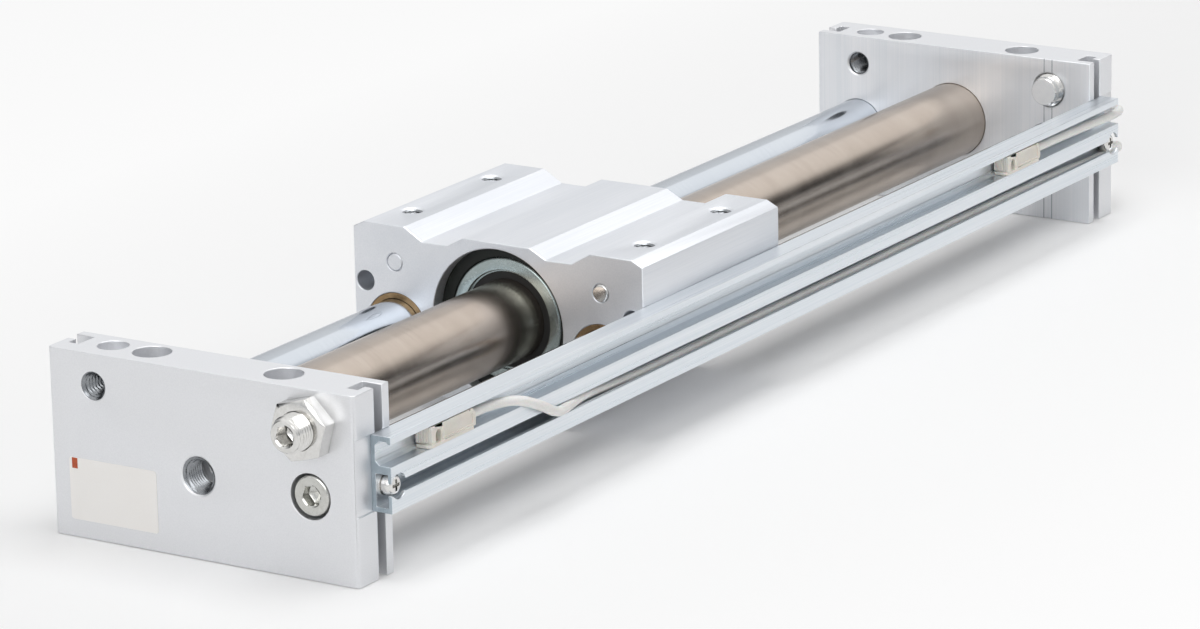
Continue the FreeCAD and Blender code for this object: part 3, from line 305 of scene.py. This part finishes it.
FINISHES = {
    "plate_aluminium": clear_anodised_plate(),
    "block_aluminium": satin_anodised_block(),
    "rail_aluminium": drawn_rail_aluminium(),
    "tube_steel": ground_stainless_tube(),
    "chrome": hard_chrome_rod(),
    "nickel_steel": nickel_plated_steel(),
    "black_steel": black_phosphate_steel(),
    "zinc_steel": blue_zinc_steel(),
    "yoke_steel": bare_yoke_steel(),
    "magnet": sintered_magnet(),
    "bronze": sintered_bronze(),
    "inner_aluminium": turned_aluminium(),
    "black_rubber": nitrile_rubber(),
    "bearing_resin": bearing_resin(),
    "ivory_plastic": ivory_sensor_housing(),
    "lead_vinyl": grey_vinyl_sheath(),
    "copper": stranded_copper(),
    "label_film": polyester_label_film(),
}
# the finish of the thread ridges in the holes, painted darker as painted shade
CUT_METAL_PAINTED_SHADE = tapped_aluminium_painted_shade()
STOP_FACE = satin_stop_face()
DULL_NICKEL = dull_nickel_steel()
RAIL_END_PAINTED_SHADE = sawn_rail_end_painted_shade()
SLOT_OF = {entry["node"]: entry["material_slot"] for entry in frame["record"]["subparts"]}


def dress_frame():
    """Gives every carried-over node the finish of its slot."""
    for name, node in nodes.items():
        node.data.materials.clear()
        node.data.materials.append(FINISHES[SLOT_OF[name]])


def show(name, data, slot, body, finish=None):
    """Puts a new piece into the scene with its finish, riding on its body."""
    piece = bpy.data.objects.new(name, data)
    bpy.context.scene.collection.objects.link(piece)
    data.materials.clear()
    data.materials.append(finish or FINISHES[slot])
    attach(piece, body)
    return piece


# Mesh tools

CREASE = math.radians(22)
FLAT = math.radians(0.6)
SHARP = math.radians(33)


def plain_mesh(name, work):
    """The worked mesh with its faces turned outwards."""
    bmesh.ops.recalc_face_normals(work, faces=work.faces)
    mesh = bpy.data.meshes.new(name)
    work.to_mesh(mesh)
    work.free()
    return mesh


def finished_mesh(name, work):
    """The worked mesh, smooth but for its creases."""
    mesh = plain_mesh(name, work)
    if "custom_normal" in mesh.attributes:
        mesh.attributes.remove(mesh.attributes["custom_normal"])
    mesh.shade_smooth()
    mesh.set_sharp_from_angle(angle=CREASE)
    return mesh


def break_edges(work, width, rounds=2):
    """Rounds the sharp edges of a closed solid by a width in millimetres."""
    bmesh.ops.remove_doubles(work, verts=work.verts, dist=0.002 * MM)
    bmesh.ops.dissolve_limit(work, angle_limit=FLAT, verts=work.verts, edges=work.edges)
    sharp = [edge for edge in work.edges if edge.is_manifold and edge.calc_face_angle() > SHARP]
    bmesh.ops.bevel(work, geom=sharp, offset=width * MM, offset_type="OFFSET", segments=rounds,
                    profile=0.5, affect="EDGES", clamp_overlap=False)


def with_broken_edges(node, width):
    """The node's own solid with its edges broken, as the real machined piece has them."""
    work = bmesh.new()
    work.from_mesh(nodes[node].data)
    break_edges(work, width)
    piece = show(node + "_machined", finished_mesh(node, work), SLOT_OF[node], BODY_OF[node])
    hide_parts(node)
    return piece


def finish_faces(piece, finish, chosen):
    """A second finish on the chosen faces of a piece."""
    piece.data.materials.append(finish)
    for face in piece.data.polygons:
        face.material_index = int(chosen(face))


def spun(centre, axis, stations, sides=60, ring=False, work=None):
    """A turned solid: stations are (place along the axis, radius), where a radius may be a function
    of the angle. A ring's last station joins its first."""
    work = work or bmesh.new()
    along = Vector(axis)
    across = Vector((1, 0, 0)) if abs(along.x) < 0.5 else Vector((0, 1, 0))
    across = (across - along * across.dot(along)).normalized()
    other = along.cross(across)
    rows = []
    for place, radius in stations:
        middle = Vector(centre) + along * place
        row = []
        for k in range(sides if radius else 1):
            angle = TURN * k / sides
            reach = radius(angle) if callable(radius) else radius
            spot = middle + (across * math.cos(angle) + other * math.sin(angle)) * reach
            row.append(work.verts.new(spot * MM))
        rows.append(row)
    pairs = list(zip(rows, rows[1:]))
    if ring:
        pairs.append((rows[-1], rows[0]))
    for first, second in pairs:
        for k in range(sides):
            corners = (first[k % len(first)], first[(k + 1) % len(first)],
                       second[(k + 1) % len(second)], second[k % len(second)])
            work.faces.new(list(dict.fromkeys(corners)))
    return work


def hexagonal(flats, turn):
    """The radius of a hexagon, by the angle."""
    return lambda angle: flats / 2 / math.cos((angle - turn) % (TURN / 6) - TURN / 12)


def threaded(place, root, crest, pitch):
    """The radius of a thread at one place along its axis, by the angle."""
    def radius(angle):
        """From root to crest and back once each pitch, with flats at both."""
        share = (place / pitch - angle / TURN) % 1
        rise = min(max(1.25 * abs(2 * share - 1) - 0.125, 0), 1)
        return root + (crest - root) * rise
    return radius


THREAD_STEPS = 7


def thread_stations(start, end, root, crest, pitch, widening=lambda place: 0):
    """Stations of a thread that fades in and out over one pitch, on a wall that may widen."""
    steps = round(abs(end - start) / pitch * THREAD_STEPS)
    for i in range(steps + 1):
        place = start + (end - start) * i / steps
        fade = min(1, i / THREAD_STEPS, (steps - i) / THREAD_STEPS)
        wider = widening(place)
        yield place, threaded(place, root + wider, root + wider + (crest - root) * fade, pitch)


def inner_thread(work, centre, axis, start, end, wall, depth, pitch, lead_in):
    """The ridges of a tapped hole, on a thin ring let into its wall and into the cone at its mouth.
    The cone ends at lead_in."""
    def widening(place):
        """How much further out the cone at the mouth is than the wall."""
        return max(0, place - lead_in)

    stations = [(start, wall + 0.1 + widening(start))]
    stations += thread_stations(start, end, wall - 0.04, wall - depth, pitch, widening)
    stations += [(end, wall + 0.1)]
    return spun(centre, axis, stations, 48, True, work)


def prism(outline, axis, low, high):
    """An outline in the other two axes, pulled out along one axis."""
    work = bmesh.new()
    rows = []
    for level in (low, high):
        row = []
        for first, second in outline:
            spot = [first, second]
            spot.insert("XYZ".index(axis), level)
            row.append(work.verts.new(Vector(spot) * MM))
        rows.append(row)
    work.faces.new(rows[0])
    work.faces.new(rows[1])
    count = len(outline)
    for k in range(count):
        work.faces.new((rows[0][k], rows[0][(k + 1) % count], rows[1][(k + 1) % count], rows[1][k]))
    return plain_mesh("prism", work)


def rectangle(x_low, z_low, x_high, z_high):
    """The corners of a rectangle, in turn."""
    return [(x_low, z_low), (x_high, z_low), (x_high, z_high), (x_low, z_high)]


def slot_outline(middle_x, middle_z, width, height, steps=10):
    """An upright slot with round ends."""
    reach = (height - width) / 2
    points = []
    for sign, start in ((1, 0), (-1, math.pi)):
        for k in range(steps + 1):
            angle = start + math.pi * k / steps
            points.append((middle_x + width / 2 * math.cos(angle),
                           middle_z + sign * reach + width / 2 * math.sin(angle)))
    return points


def carve(mesh, joined=(), cut=()):
    """A solid with others joined to it and then others cut from it, as a worked mesh."""
    piece = bpy.data.objects.new("carved", mesh)
    bpy.context.scene.collection.objects.link(piece)
    helpers = []
    for tools, operation in ((joined, "UNION"), (cut, "DIFFERENCE")):
        for tool in tools:
            helper = bpy.data.objects.new("tool", tool)
            bpy.context.scene.collection.objects.link(helper)
            helpers.append(helper)
            step = piece.modifiers.new("step", "BOOLEAN")
            step.operation = operation
            step.object = helper
            step.solver = "EXACT"
    graph = bpy.context.evaluated_depsgraph_get()
    result = bpy.data.meshes.new_from_object(piece.evaluated_get(graph))
    work = bmesh.new()
    work.from_mesh(result)
    for helper in [piece, *helpers]:
        bpy.data.objects.remove(helper)
    bpy.data.meshes.remove(result)
    return work


# Machined pieces

# how wide each machined piece's edges are broken
EDGES = {
    "end_plate_left": 0.22, "end_plate_right": 0.22, "slide_block": 0.28, "sensor_rail": 0.16,
    "lock_nut_left": 0.14, "lock_nut_right": 0.14, "stop_pins": 0.3, "block_plugs": 0.12,
    "end_ring_left": 0.2, "end_ring_right": 0.2, "snap_rings": 0.15,
    "guide_bush_front_left": 0.2, "guide_bush_rear_left": 0.2,
    "guide_bush_front_right": 0.2, "guide_bush_rear_right": 0.2, "blank_label": 0.03,
}

BOLT_Y, BOLT_Z = -33.2, 40.4
BOLT_END, BOLT_TIP = 214.95, 186.05
BOLT_KEY = 5
BOLT_ROOT, BOLT_CREST, BOLT_PITCH = 4.3, 5.0, 1.0


def adjusting_bolt(side, sign):
    """Fully threaded bolt, M10 with 1 mm pitch: hexagon socket outside, turned stop face inside."""
    key = hexagonal(BOLT_KEY, math.radians(15))
    stations = [(BOLT_TIP, 0), (BOLT_TIP, 3.95), (BOLT_TIP + 0.3, 4.25), (BOLT_TIP + 1.3, 4.5)]
    stations += thread_stations(BOLT_TIP + 1.5, BOLT_END - 0.6, BOLT_ROOT, BOLT_CREST, BOLT_PITCH)
    stations += [(BOLT_END - 0.45, 4.4), (BOLT_END - 0.12, 4.1), (BOLT_END, 3.95), (BOLT_END, 3.05),
                 (BOLT_END - 0.3, key), (BOLT_END - BOLT_KEY, key), (BOLT_END - BOLT_KEY - 1.2, 0)]
    work = spun((0, BOLT_Y, BOLT_Z), (sign, 0, 0), stations)
    node = f"adjusting_bolt_{side}"
    piece = show(node + "_threaded", finished_mesh(node, work), "nickel_steel", BODY_OF[node])
    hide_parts(node)
    finish_faces(piece, STOP_FACE, lambda face: abs(abs(face.center.x) - BOLT_TIP * MM) < 0.01 * MM)


CAP_Y, CAP_Z = -33.2, 22
CAP_FACE, CAP_SEAT, CAP_TIP = 204.3, 198.3, 182.25
CAP_RADIUS, CAP_SHANK, CAP_ROUNDING = 5.4, 2.5, 0.8
CAP_KEY = 5


def cap_screws():
    """Two socket head screws: rounded head edge, chamfered socket with a drilled cone."""
    key = hexagonal(CAP_KEY, math.radians(10))
    work = bmesh.new()
    for _, sign in ENDS:
        stations = [(CAP_TIP, 0), (CAP_TIP, CAP_SHANK), (CAP_SEAT, CAP_SHANK), (CAP_SEAT, CAP_RADIUS)]
        for k in range(5):
            angle = TURN / 4 * k / 4
            stations.append((CAP_FACE - CAP_ROUNDING + CAP_ROUNDING * math.sin(angle),
                             CAP_RADIUS - CAP_ROUNDING + CAP_ROUNDING * math.cos(angle)))
        stations += [(CAP_FACE, 3.0), (CAP_FACE - 0.25, key), (CAP_FACE - 3, key), (CAP_FACE - 4.2, 0)]
        spun((0, CAP_Y, CAP_Z), (sign, 0, 0), stations, work=work)
    piece = show("rod_cap_screws_turned", finished_mesh("cap_screws", work), "nickel_steel", "frame",
                 DULL_NICKEL)
    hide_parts("rod_cap_screws")


RAIL_SCREW_X, RAIL_SCREW_Z = 194.05, 24.9
RECESS_LONG, RECESS_SHORT = 3.1, 0.85
# the screw's profile, as distance from the middle plane and radius, one row for each form
RAIL_SCREW_PROFILE = [
    (41.85, 0), (41.85, 1.45), (48.15, 1.45),  # shank
    (48.15, 2.95), (48.75, 2.95),  # flat washer
    (48.75, 2.2), (48.85, 2.45), (49.45, 2.45), (49.55, 2.2),  # spring washer
    (49.55, 2.8), (50.9, 2.8), (51.4, 2.6), (51.8, 2.1), (51.95, 1.2), (52.0, 0)]  # pan head


def rail_screws():
    """Two pan head screws in the T slot, each on a flat and a spring washer, with a cross recess."""
    z = RAIL_SCREW_Z
    for side, sign in ENDS:
        x = sign * RAIL_SCREW_X
        turned = spun((x, 0, z), (0, -1, 0), RAIL_SCREW_PROFILE, 48)
        arms = []
        for long, short in ((RECESS_LONG, RECESS_SHORT), (RECESS_SHORT, RECESS_LONG)):
            arm = rectangle(x - long / 2, z - short / 2, x + long / 2, z + short / 2)
            arms.append(prism(arm, "Y", -53, -50.6))
        mesh = finished_mesh("rail_screw", carve(plain_mesh("pan_head", turned), cut=arms))
        piece = show(f"rail_screw_{side}_pan_head", mesh, "nickel_steel", "frame")
        if sign < 0:
            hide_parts("rail_screws")


# middles of the holes, and of each thread its wall's radius, its ridges' depth and its pitch
PORT, PORT_THREAD = (1.2, 22.2), (4.4, 0.6, 0.907)
SPARE, SPARE_THREAD = (33.2, 41.3), (3.4, 0.65, 1.25)
TABLE_HOLES = [(-31.9 + sx * 20, sy * 37.5) for sx in (-1, 1) for sy in (-1, 1)]
TABLE_THREAD = (2.5, 0.4, 1.0)
TABLE_HOLE_TOP, TABLE_HOLE_FLOOR, TABLE_CONE = 50.3, 41.5, 49.9


def tapped_holes():
    """Thread ridges in the ports, the spare holes and the table's four holes."""
    for side, sign in ENDS:
        work = bmesh.new()
        inner_thread(work, (0, *PORT), (sign, 0, 0), OUTER_FACE - 0.35, OUTER_FACE - 7.9,
                     *PORT_THREAD, OUTER_FACE - 1.0)
        show(f"port_thread_{side}", finished_mesh("port_thread", work), "plate_aluminium", "frame",
             CUT_METAL_PAINTED_SHADE)
        work = bmesh.new()
        inner_thread(work, (0, *SPARE), (sign, 0, 0), OUTER_FACE - 0.1, INNER_FACE + 0.5,
                     *SPARE_THREAD, OUTER_FACE - 0.5)
        show(f"spare_thread_{side}", finished_mesh("spare_thread", work), "plate_aluminium", "frame",
             CUT_METAL_PAINTED_SHADE)
    work = bmesh.new()
    for x, y in TABLE_HOLES:
        inner_thread(work, (x, y, 0), (0, 0, 1), TABLE_HOLE_TOP, TABLE_HOLE_FLOOR, *TABLE_THREAD, TABLE_CONE)
    show("table_threads", finished_mesh("table_threads", work), "block_aluminium", "carriage", CUT_METAL_PAINTED_SHADE)


# Sensors

SENSOR_NOSES = {"left": -180.6, "right": 125.0}
SENSOR_LENGTH = 22
SENSOR_BACK, SENSOR_FACE = -48.75, -52.85
SENSOR_LOW, SENSOR_HIGH = 31.25, 36.0
SENSOR_RIBS = 5
# the clamp screw's middle, from the nose and in Z
CLAMP_ALONG, CLAMP_Z = 4.75, 32.95


def position_sensor(side, nose):
    """Ivory housing: ribbed round nose, screw slot between two bars, recessed panel, cut tail, foot."""
    back, face = SENSOR_BACK, SENSOR_FACE
    tail = nose + SENSOR_LENGTH
    plan = [(tail, back), (tail, face + 0.3), (nose + 21.7, face), (nose + 1.6, face),
            (nose + 1.1, face + 0.25)]
    for k in range(SENSOR_RIBS):
        y = face + 0.45 + (back - face - 0.7) * k / SENSOR_RIBS
        slant = nose + 0.95 - 0.85 * k / SENSOR_RIBS
        plan += [(slant, y), (slant + 0.16, y + 0.12), (slant + 0.16, y + 0.3), (slant - 0.05, y + 0.42)]
    plan.append((nose + 0.25, back))
    body = prism(plan, "Z", SENSOR_LOW, SENSOR_HIGH)
    foot = prism([(nose + 20.2, -49.1), (nose + 20.2, -53.25), (nose + 1.6, -53.25), (nose + 0.7, -52.9),
                  (nose + 0.15, -52.1), (nose + 0.02, -51.0), (nose + 0.02, -49.1)], "Z", 30.6, 31.5)
    bars = [prism(rectangle(nose + start, 31.3, nose + end, 35.95), "Y", face - 0.22, face + 0.5)
            for start, end in ((1.25, 2.9), (6.5, 7.15))]
    cuts = [
        prism(slot_outline(nose + CLAMP_ALONG, CLAMP_Z, 2.5, 3.5), "Y", face - 1, face + 2.2),
        prism(rectangle(nose + 7.5, 32.0, nose + 20.4, 34.75), "Y", face - 1, face + 0.3),
        prism([(nose + 20.6, 36.5), (nose + 20.6, 35.7), (nose + 22.5, 34.2), (nose + 23, 36.5)],
              "Y", -54, -48),
        prism(rectangle(nose + 18.8, 35.55, nose + 19.5, 36.5), "Y", face - 1, face + 1.2),
        prism(rectangle(nose - 1, 31.5, nose + 1.0, 31.8), "Y", -54, -48),
    ]
    work = carve(body, joined=[foot, *bars], cut=cuts)
    break_edges(work, 0.11)
    node = f"position_sensor_{side}"
    piece = show(node + "_moulded", finished_mesh(node, work), "ivory_plastic", "frame")
    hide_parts(node)
    clamp_screw(side, nose)


def clamp_screw(side, nose):
    """The small slotted screw that fixes a sensor in the rail."""
    turned = spun((nose + CLAMP_ALONG, 0, CLAMP_Z), (0, -1, 0),
                  [(48.3, 0), (48.3, 1.15), (51.25, 1.15), (51.4, 1.0), (51.4, 0)], 32)
    mesh = plain_mesh("clamp", turned)
    groove = prism(rectangle(nose + 3, 32.75, nose + 6.5, 33.15), "Y", -52, -50.9)
    piece = show(f"sensor_clamp_screw_{side}", finished_mesh("clamp", carve(mesh, cut=[groove])),
                 "nickel_steel", "frame")
    if side == "left":
        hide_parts("sensor_screws")


# Sticker

TAB = (39.15, 18.5, 40.9, 21.3)
TAB_OUTSIDE, TAB_INSIDE = -204.83, -204.7


def printed_tab():
    """The sticker's one plain printed mark; the rest of it stays bare."""
    work = bmesh.new()
    work.from_mesh(prism(rectangle(*TAB), "X", TAB_OUTSIDE, TAB_INSIDE))
    show("printed_tab", finished_mesh("printed_tab", work), "label_film", "frame", orange_printing_ink())


# Leads

LEAD_RADIUS = 1.35
LEFT_ROUTE = [
    (-158.6, -50.9, 33.8), (-150.5, -50.9, 33.8), (-141.5, -53.6, 33.5), (-133.0, -55.6, 30.0),
    (-125.0, -55.4, 25.6), (-116.4, -52.8, 24.4), (-105.0, -50.3, 24.4), (-90.0, -49.8, 23.2),
    (-64.0, -50.0, 22.5), (-20.0, -49.8, 22.7), (35.0, -50.0, 22.5), (88.0, -49.8, 22.7),
    (130.0, -50.0, 22.5), (155.0, -49.9, 22.4), (170.0, -50.0, 21.9), (182.0, -49.9, 21.2),
    (192.0, -50.0, 21.15), (202.3, -50.3, 21.2), (209.9, -46.3, 20.2), (216.0, -39.9, 17.2),
    (221.8, -33.2, 13.2), (228.0, -26.6, 9.0), (234.6, -20.4, 5.2), (242.0, -14.2, 2.4),
    (249.0, -6.6, 1.5), (253.2, 3.2, 1.45), (254.0, 14.4, 1.45), (251.4, 25.4, 1.45),
    (245.8, 35.0, 1.45), (238.0, 42.6, 1.45), (230.8, 48.2, 1.45)]
RIGHT_ROUTE = [
    (147.0, -50.9, 33.8), (157.0, -50.9, 33.8), (172.0, -50.7, 33.4), (188.0, -50.9, 33.0),
    (202.3, -50.8, 32.6), (210.5, -46.2, 31.7), (215.1, -38.0, 28.2), (216.4, -29.2, 22.6),
    (216.1, -20.8, 16.6), (215.0, -13.2, 11.0), (213.5, -6.4, 6.7), (212.2, -0.4, 4.15)]
COIL_CENTRE = (228.0, 2.0)
TAIL_ROUTE = [
    (213.0, 10.7, 1.35), (217.9, 19.2, 1.4), (221.9, 28.5, 1.4), (222.8, 38.8, 1.4),
    (219.2, 48.5, 1.4), (211.7, 55.4, 1.4)]


def smooth_curve(name, points, radius):
    """A round cord along a NURBS spline through control points in millimetres."""
    curve = bpy.data.curves.new(name, "CURVE")
    curve.dimensions = "3D"
    curve.bevel_depth = radius * MM
    curve.bevel_resolution = 6
    curve.resolution_u = 8
    curve.use_fill_caps = True
    spline = curve.splines.new("NURBS")
    spline.points.add(len(points) - 1)
    for point, place in zip(spline.points, points):
        point.co = (*(value * MM for value in place), 1)
    spline.order_u = 3
    spline.use_endpoint_u = True
    return curve


def coil_points():
    """Turns of the right lead's coil, clockwise: out, in, then out again on the base plane."""
    across, up = COIL_CENTRE
    first = math.atan2(RIGHT_ROUTE[-1][1] - up, RIGHT_ROUTE[-1][0] - across)
    last = math.atan2(TAIL_ROUTE[0][1] - up, TAIL_ROUTE[0][0] - across)
    sweep = (last - first) % TURN - 4 * TURN
    # share of the way round, radius, height
    stations = ((0.0, 16.0, 4.1), (0.10, 17.35, 4.1), (0.36, 17.35, 4.1), (0.46, 14.65, 4.05),
                (0.58, 14.65, 2.7), (0.66, 14.65, 1.4), (0.72, 16.0, 1.4), (0.80, 17.35, 1.4),
                (1.0, 17.35, 1.4))
    points = []
    count = 60
    for i in range(1, count):
        share = i / count
        for low, high in zip(stations, stations[1:]):
            if low[0] <= share <= high[0]:
                part = (share - low[0]) / (high[0] - low[0])
                ease = part * part * (3 - 2 * part)
                radius = low[1] + (high[1] - low[1]) * ease
                height = low[2] + (high[2] - low[2]) * ease
        angle = first + sweep * share
        points.append((across + radius * math.cos(angle), up + radius * math.sin(angle), height))
    return points


CORES = (
    ("brown", core_vinyl("brown_core_vinyl", "#6B4530", "#5C3A28"), 90),
    ("blue", core_vinyl("blue_core_vinyl", "#3E6FA8", "#355F92"), 210),
    ("black", core_vinyl("black_core_vinyl", "#2A2A2A", "#202020"), 330),
)
CORE_RADIUS = 0.4
STRANDS_START, STRANDS_LENGTH, STRANDS = 2.9, 2.1, 6


def twisted(place):
    """The radius of the twisted strands at one place along them, by the angle."""
    return lambda angle: 0.27 + 0.035 * math.cos(STRANDS * (angle - place * 2))


def lead_cores(side, route):
    """Three insulated conductors out of the lead's end, each with its bare strands twisted."""
    end = Vector(route[-1])
    along = (end - Vector(route[-2])).normalized()
    across = along.cross(Vector((0, 0, 1))).normalized()
    upwards = across.cross(along)
    pieces = []
    for name, finish, turn in CORES:
        angle = math.radians(turn)
        centre = end + (across * math.cos(angle) + upwards * math.sin(angle)) * CORE_RADIUS * 1.25
        sleeve = spun(centre, along, [(-0.5, 0), (-0.5, CORE_RADIUS), (3.0, CORE_RADIUS), (3.1, 0.34),
                                      (3.1, 0)], 16)
        pieces.append(show(f"{side}_lead_{name}_core", finished_mesh(name, sleeve), "lead_vinyl", "frame",
                           finish))
        strands = [(STRANDS_START, 0)]
        for k in range(12):
            place = STRANDS_START + STRANDS_LENGTH * k / 11
            strands.append((place, twisted(place)))
        copper = spun(centre, along, [*strands, (STRANDS_START + STRANDS_LENGTH, 0)], 24)
        pieces.append(show(f"{side}_lead_{name}_strands", finished_mesh("strands", copper), "copper",
                           "frame"))
    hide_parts(f"lead_{side}_cores")
    return pieces


def lead(side, points, *replaced):
    """A sensor's lead from its housing to its bare end."""
    piece = show(f"{side}_lead", smooth_curve(f"{side}_lead", points, LEAD_RADIUS), "lead_vinyl", "frame")
    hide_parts(*replaced)
    tuple(value * MM for value in points[0])
    lead_cores(side, points)


# Studio

# the camera fitted to the photograph, in metres and millimetres of lens
CAMERA_PLACE = (-1.3125, -0.8208, 0.4567)
CAMERA_FORWARD = (0.8123, 0.5141, -0.2755)
CAMERA_RIGHT = (0.5300, -0.8478, -0.0195)
FOCAL_LENGTH = 171.69
SENSOR_WIDTH = 36


def photo_camera():
    """The photograph's view, from a pinhole fit to the object's edges."""
    forward = Vector(CAMERA_FORWARD).normalized()
    right = Vector(CAMERA_RIGHT).normalized()
    upwards = right.cross(forward).normalized()
    data = bpy.data.cameras.new("photo_camera")
    data.lens = FOCAL_LENGTH
    data.sensor_width = SENSOR_WIDTH
    data.clip_start = 0.05
    camera = bpy.data.objects.new("photo_camera", data)
    turned = Matrix((right, upwards, -forward)).transposed().to_4x4()
    camera.matrix_world = Matrix.Translation(CAMERA_PLACE) @ turned
    bpy.context.scene.collection.objects.link(camera)
    bpy.context.scene.camera = camera


# name, place, width and height in metres, power in watts; each faces the object's middle
SOFTBOXES = (
    ("overhead", (0.0, -0.15, 1.5), 1.3, 0.9, 12.0),
    ("far_right", (1.2, -0.1, 0.85), 1.0, 0.9, 0.9),
    ("front_left", (-2.2, -0.3, 1.1), 1.4, 1.4, 14),
    ("rail_side", (0.3, -1.0, 1.1), 1.2, 0.6, 3.8),
)


def softbox(name, place, width, height, power):
    """A rectangular studio lamp turned to the object's middle."""
    data = bpy.data.lights.new(name, "AREA")
    data.shape = "RECTANGLE"
    data.size = width
    data.size_y = height
    data.energy = power
    lamp = bpy.data.objects.new(name, data)
    lamp.location = place
    lamp.rotation_euler = (Vector() - Vector(place)).to_track_quat("-Z", "Y").to_euler()
    bpy.context.scene.collection.objects.link(lamp)


# directions of the studio's unlit corners, and how far each reaches, in degrees
DARK_CORNERS = (((0.82, -0.57, 0.0), 15, 27), ((-0.27, 0.95, 0.14), 10, 32))


def seen_directly(tree):
    """1 for rays from the camera, from a reflection or through a clear piece, otherwise 0."""
    path = add_node(tree, "LightPath")
    seen = path.outputs["Is Camera Ray"]
    for kind in ("Is Glossy Ray", "Is Transmission Ray"):
        seen = add_node(tree, "Math", {0: seen, 1: path.outputs[kind]}, operation="MAXIMUM")
    return seen


def studio_world():
    """A white studio, greyer towards the horizon, with unlit corners. They give the tube its dark
    side and the bright plated parts their dark facets."""
    world = bpy.data.worlds.new("studio")
    world.use_nodes = True
    tree = world.node_tree
    tree.nodes.clear()
    direction = add_node(tree, "TexCoord").outputs["Generated"]
    height = add_node(tree, "SeparateXYZ", {0: direction}).outputs["Z"]
    share = add_node(tree, "MapRange", {"Value": height, "From Min": 0.05, "From Max": 0.6})
    colour = add_node(tree, "Mix", {"Factor": share, "A": linear("#CFD1D4"), "B": linear("#FFFFFF")},
                      data_type="RGBA")
    for corner, full, clear in DARK_CORNERS:
        facing = add_node(tree, "VectorMath", {0: direction, 1: Vector(corner).normalized()},
                          operation="DOT_PRODUCT")
        lit = add_node(tree, "MapRange", {"Value": facing, "From Min": math.cos(math.radians(full)),
                                          "From Max": math.cos(math.radians(clear))})
        colour = add_node(tree, "Mix", {"Factor": lit, "A": linear("#202226"), "B": colour},
                          data_type="RGBA")
    strength = add_node(tree, "MapRange", {"Value": seen_directly(tree), "To Min": 0.28, "To Max": 1.0})
    background = add_node(tree, "Background", {"Color": colour, "Strength": strength})
    add_node(tree, "OutputWorld", {"Surface": background})
    bpy.context.scene.world = world


# in metres: the floor reaches this far, and lies just under the object
FLOOR_HALF, FLOOR_HEIGHT = 3.0, -0.0002


def white_floor():
    """Pale paper floor: seen white, with its glow fading near the object as painted shade around it, where
    its soft shadow is also kept.
    """
    corners = rectangle(-FLOOR_HALF, -FLOOR_HALF, FLOOR_HALF, FLOOR_HALF)
    mesh = bpy.data.meshes.new("floor")
    mesh.from_pydata([(*corner, FLOOR_HEIGHT) for corner in corners], [], [(0, 1, 2, 3)])
    floor = bpy.data.objects.new("floor", mesh)
    bpy.context.scene.collection.objects.link(floor)
    material = new_material("white_paper")
    tree = material.node_tree
    place = add_node(tree, "TexCoord").outputs["Object"]
    wide = add_node(tree, "Mapping", {"Vector": place, "Scale": (0.25, 1, 0)})
    away = add_node(tree, "VectorMath", {0: wide}, operation="LENGTH").outputs["Value"]
    # painted shade: the glow seen by the camera and in reflections fades close to the object, so the floor
    # darkens around it
    glow_fading_to_painted_shade = add_node(tree, "MapRange", {"Value": away, "From Min": 0.05, "From Max": 0.26,
                                             "To Min": 0.1, "To Max": 0.8})
    share = add_node(tree, "Math", {0: seen_directly(tree), 1: glow_fading_to_painted_shade}, operation="MULTIPLY")
    paper = add_node(tree, "BsdfDiffuse", {"Color": linear("#FAFAFA")})
    glow = add_node(tree, "Emission", {"Color": linear("#FFFFFF"), "Strength": 1.0})
    mix = add_node(tree, "MixShader", {"Fac": share, 1: paper, 2: glow})
    add_node(tree, "OutputMaterial", {"Surface": mix})
    mesh.materials.append(material)


dress_frame()
machined = {node: with_broken_edges(node, width) for node, width in EDGES.items()}
# the rail's end faces get the darker sawn finish, partly painted shade
finish_faces(machined["sensor_rail"], RAIL_END_PAINTED_SHADE, lambda face: abs(face.normal.x) > 0.9)
for side, sign in ENDS:
    adjusting_bolt(side, sign)
cap_screws()
rail_screws()
tapped_holes()
for side, nose in SENSOR_NOSES.items():
    position_sensor(side, nose)
printed_tab()
lead("left", LEFT_ROUTE, "lead_left")
lead("right", RIGHT_ROUTE + coil_points() + TAIL_ROUTE, "lead_right", "lead_right_coil", "lead_right_tail")

photo_camera()
studio_world()
white_floor()
for lamp in SOFTBOXES:
    softbox(*lamp)
bpy.context.scene.view_settings.view_transform = "Standard"
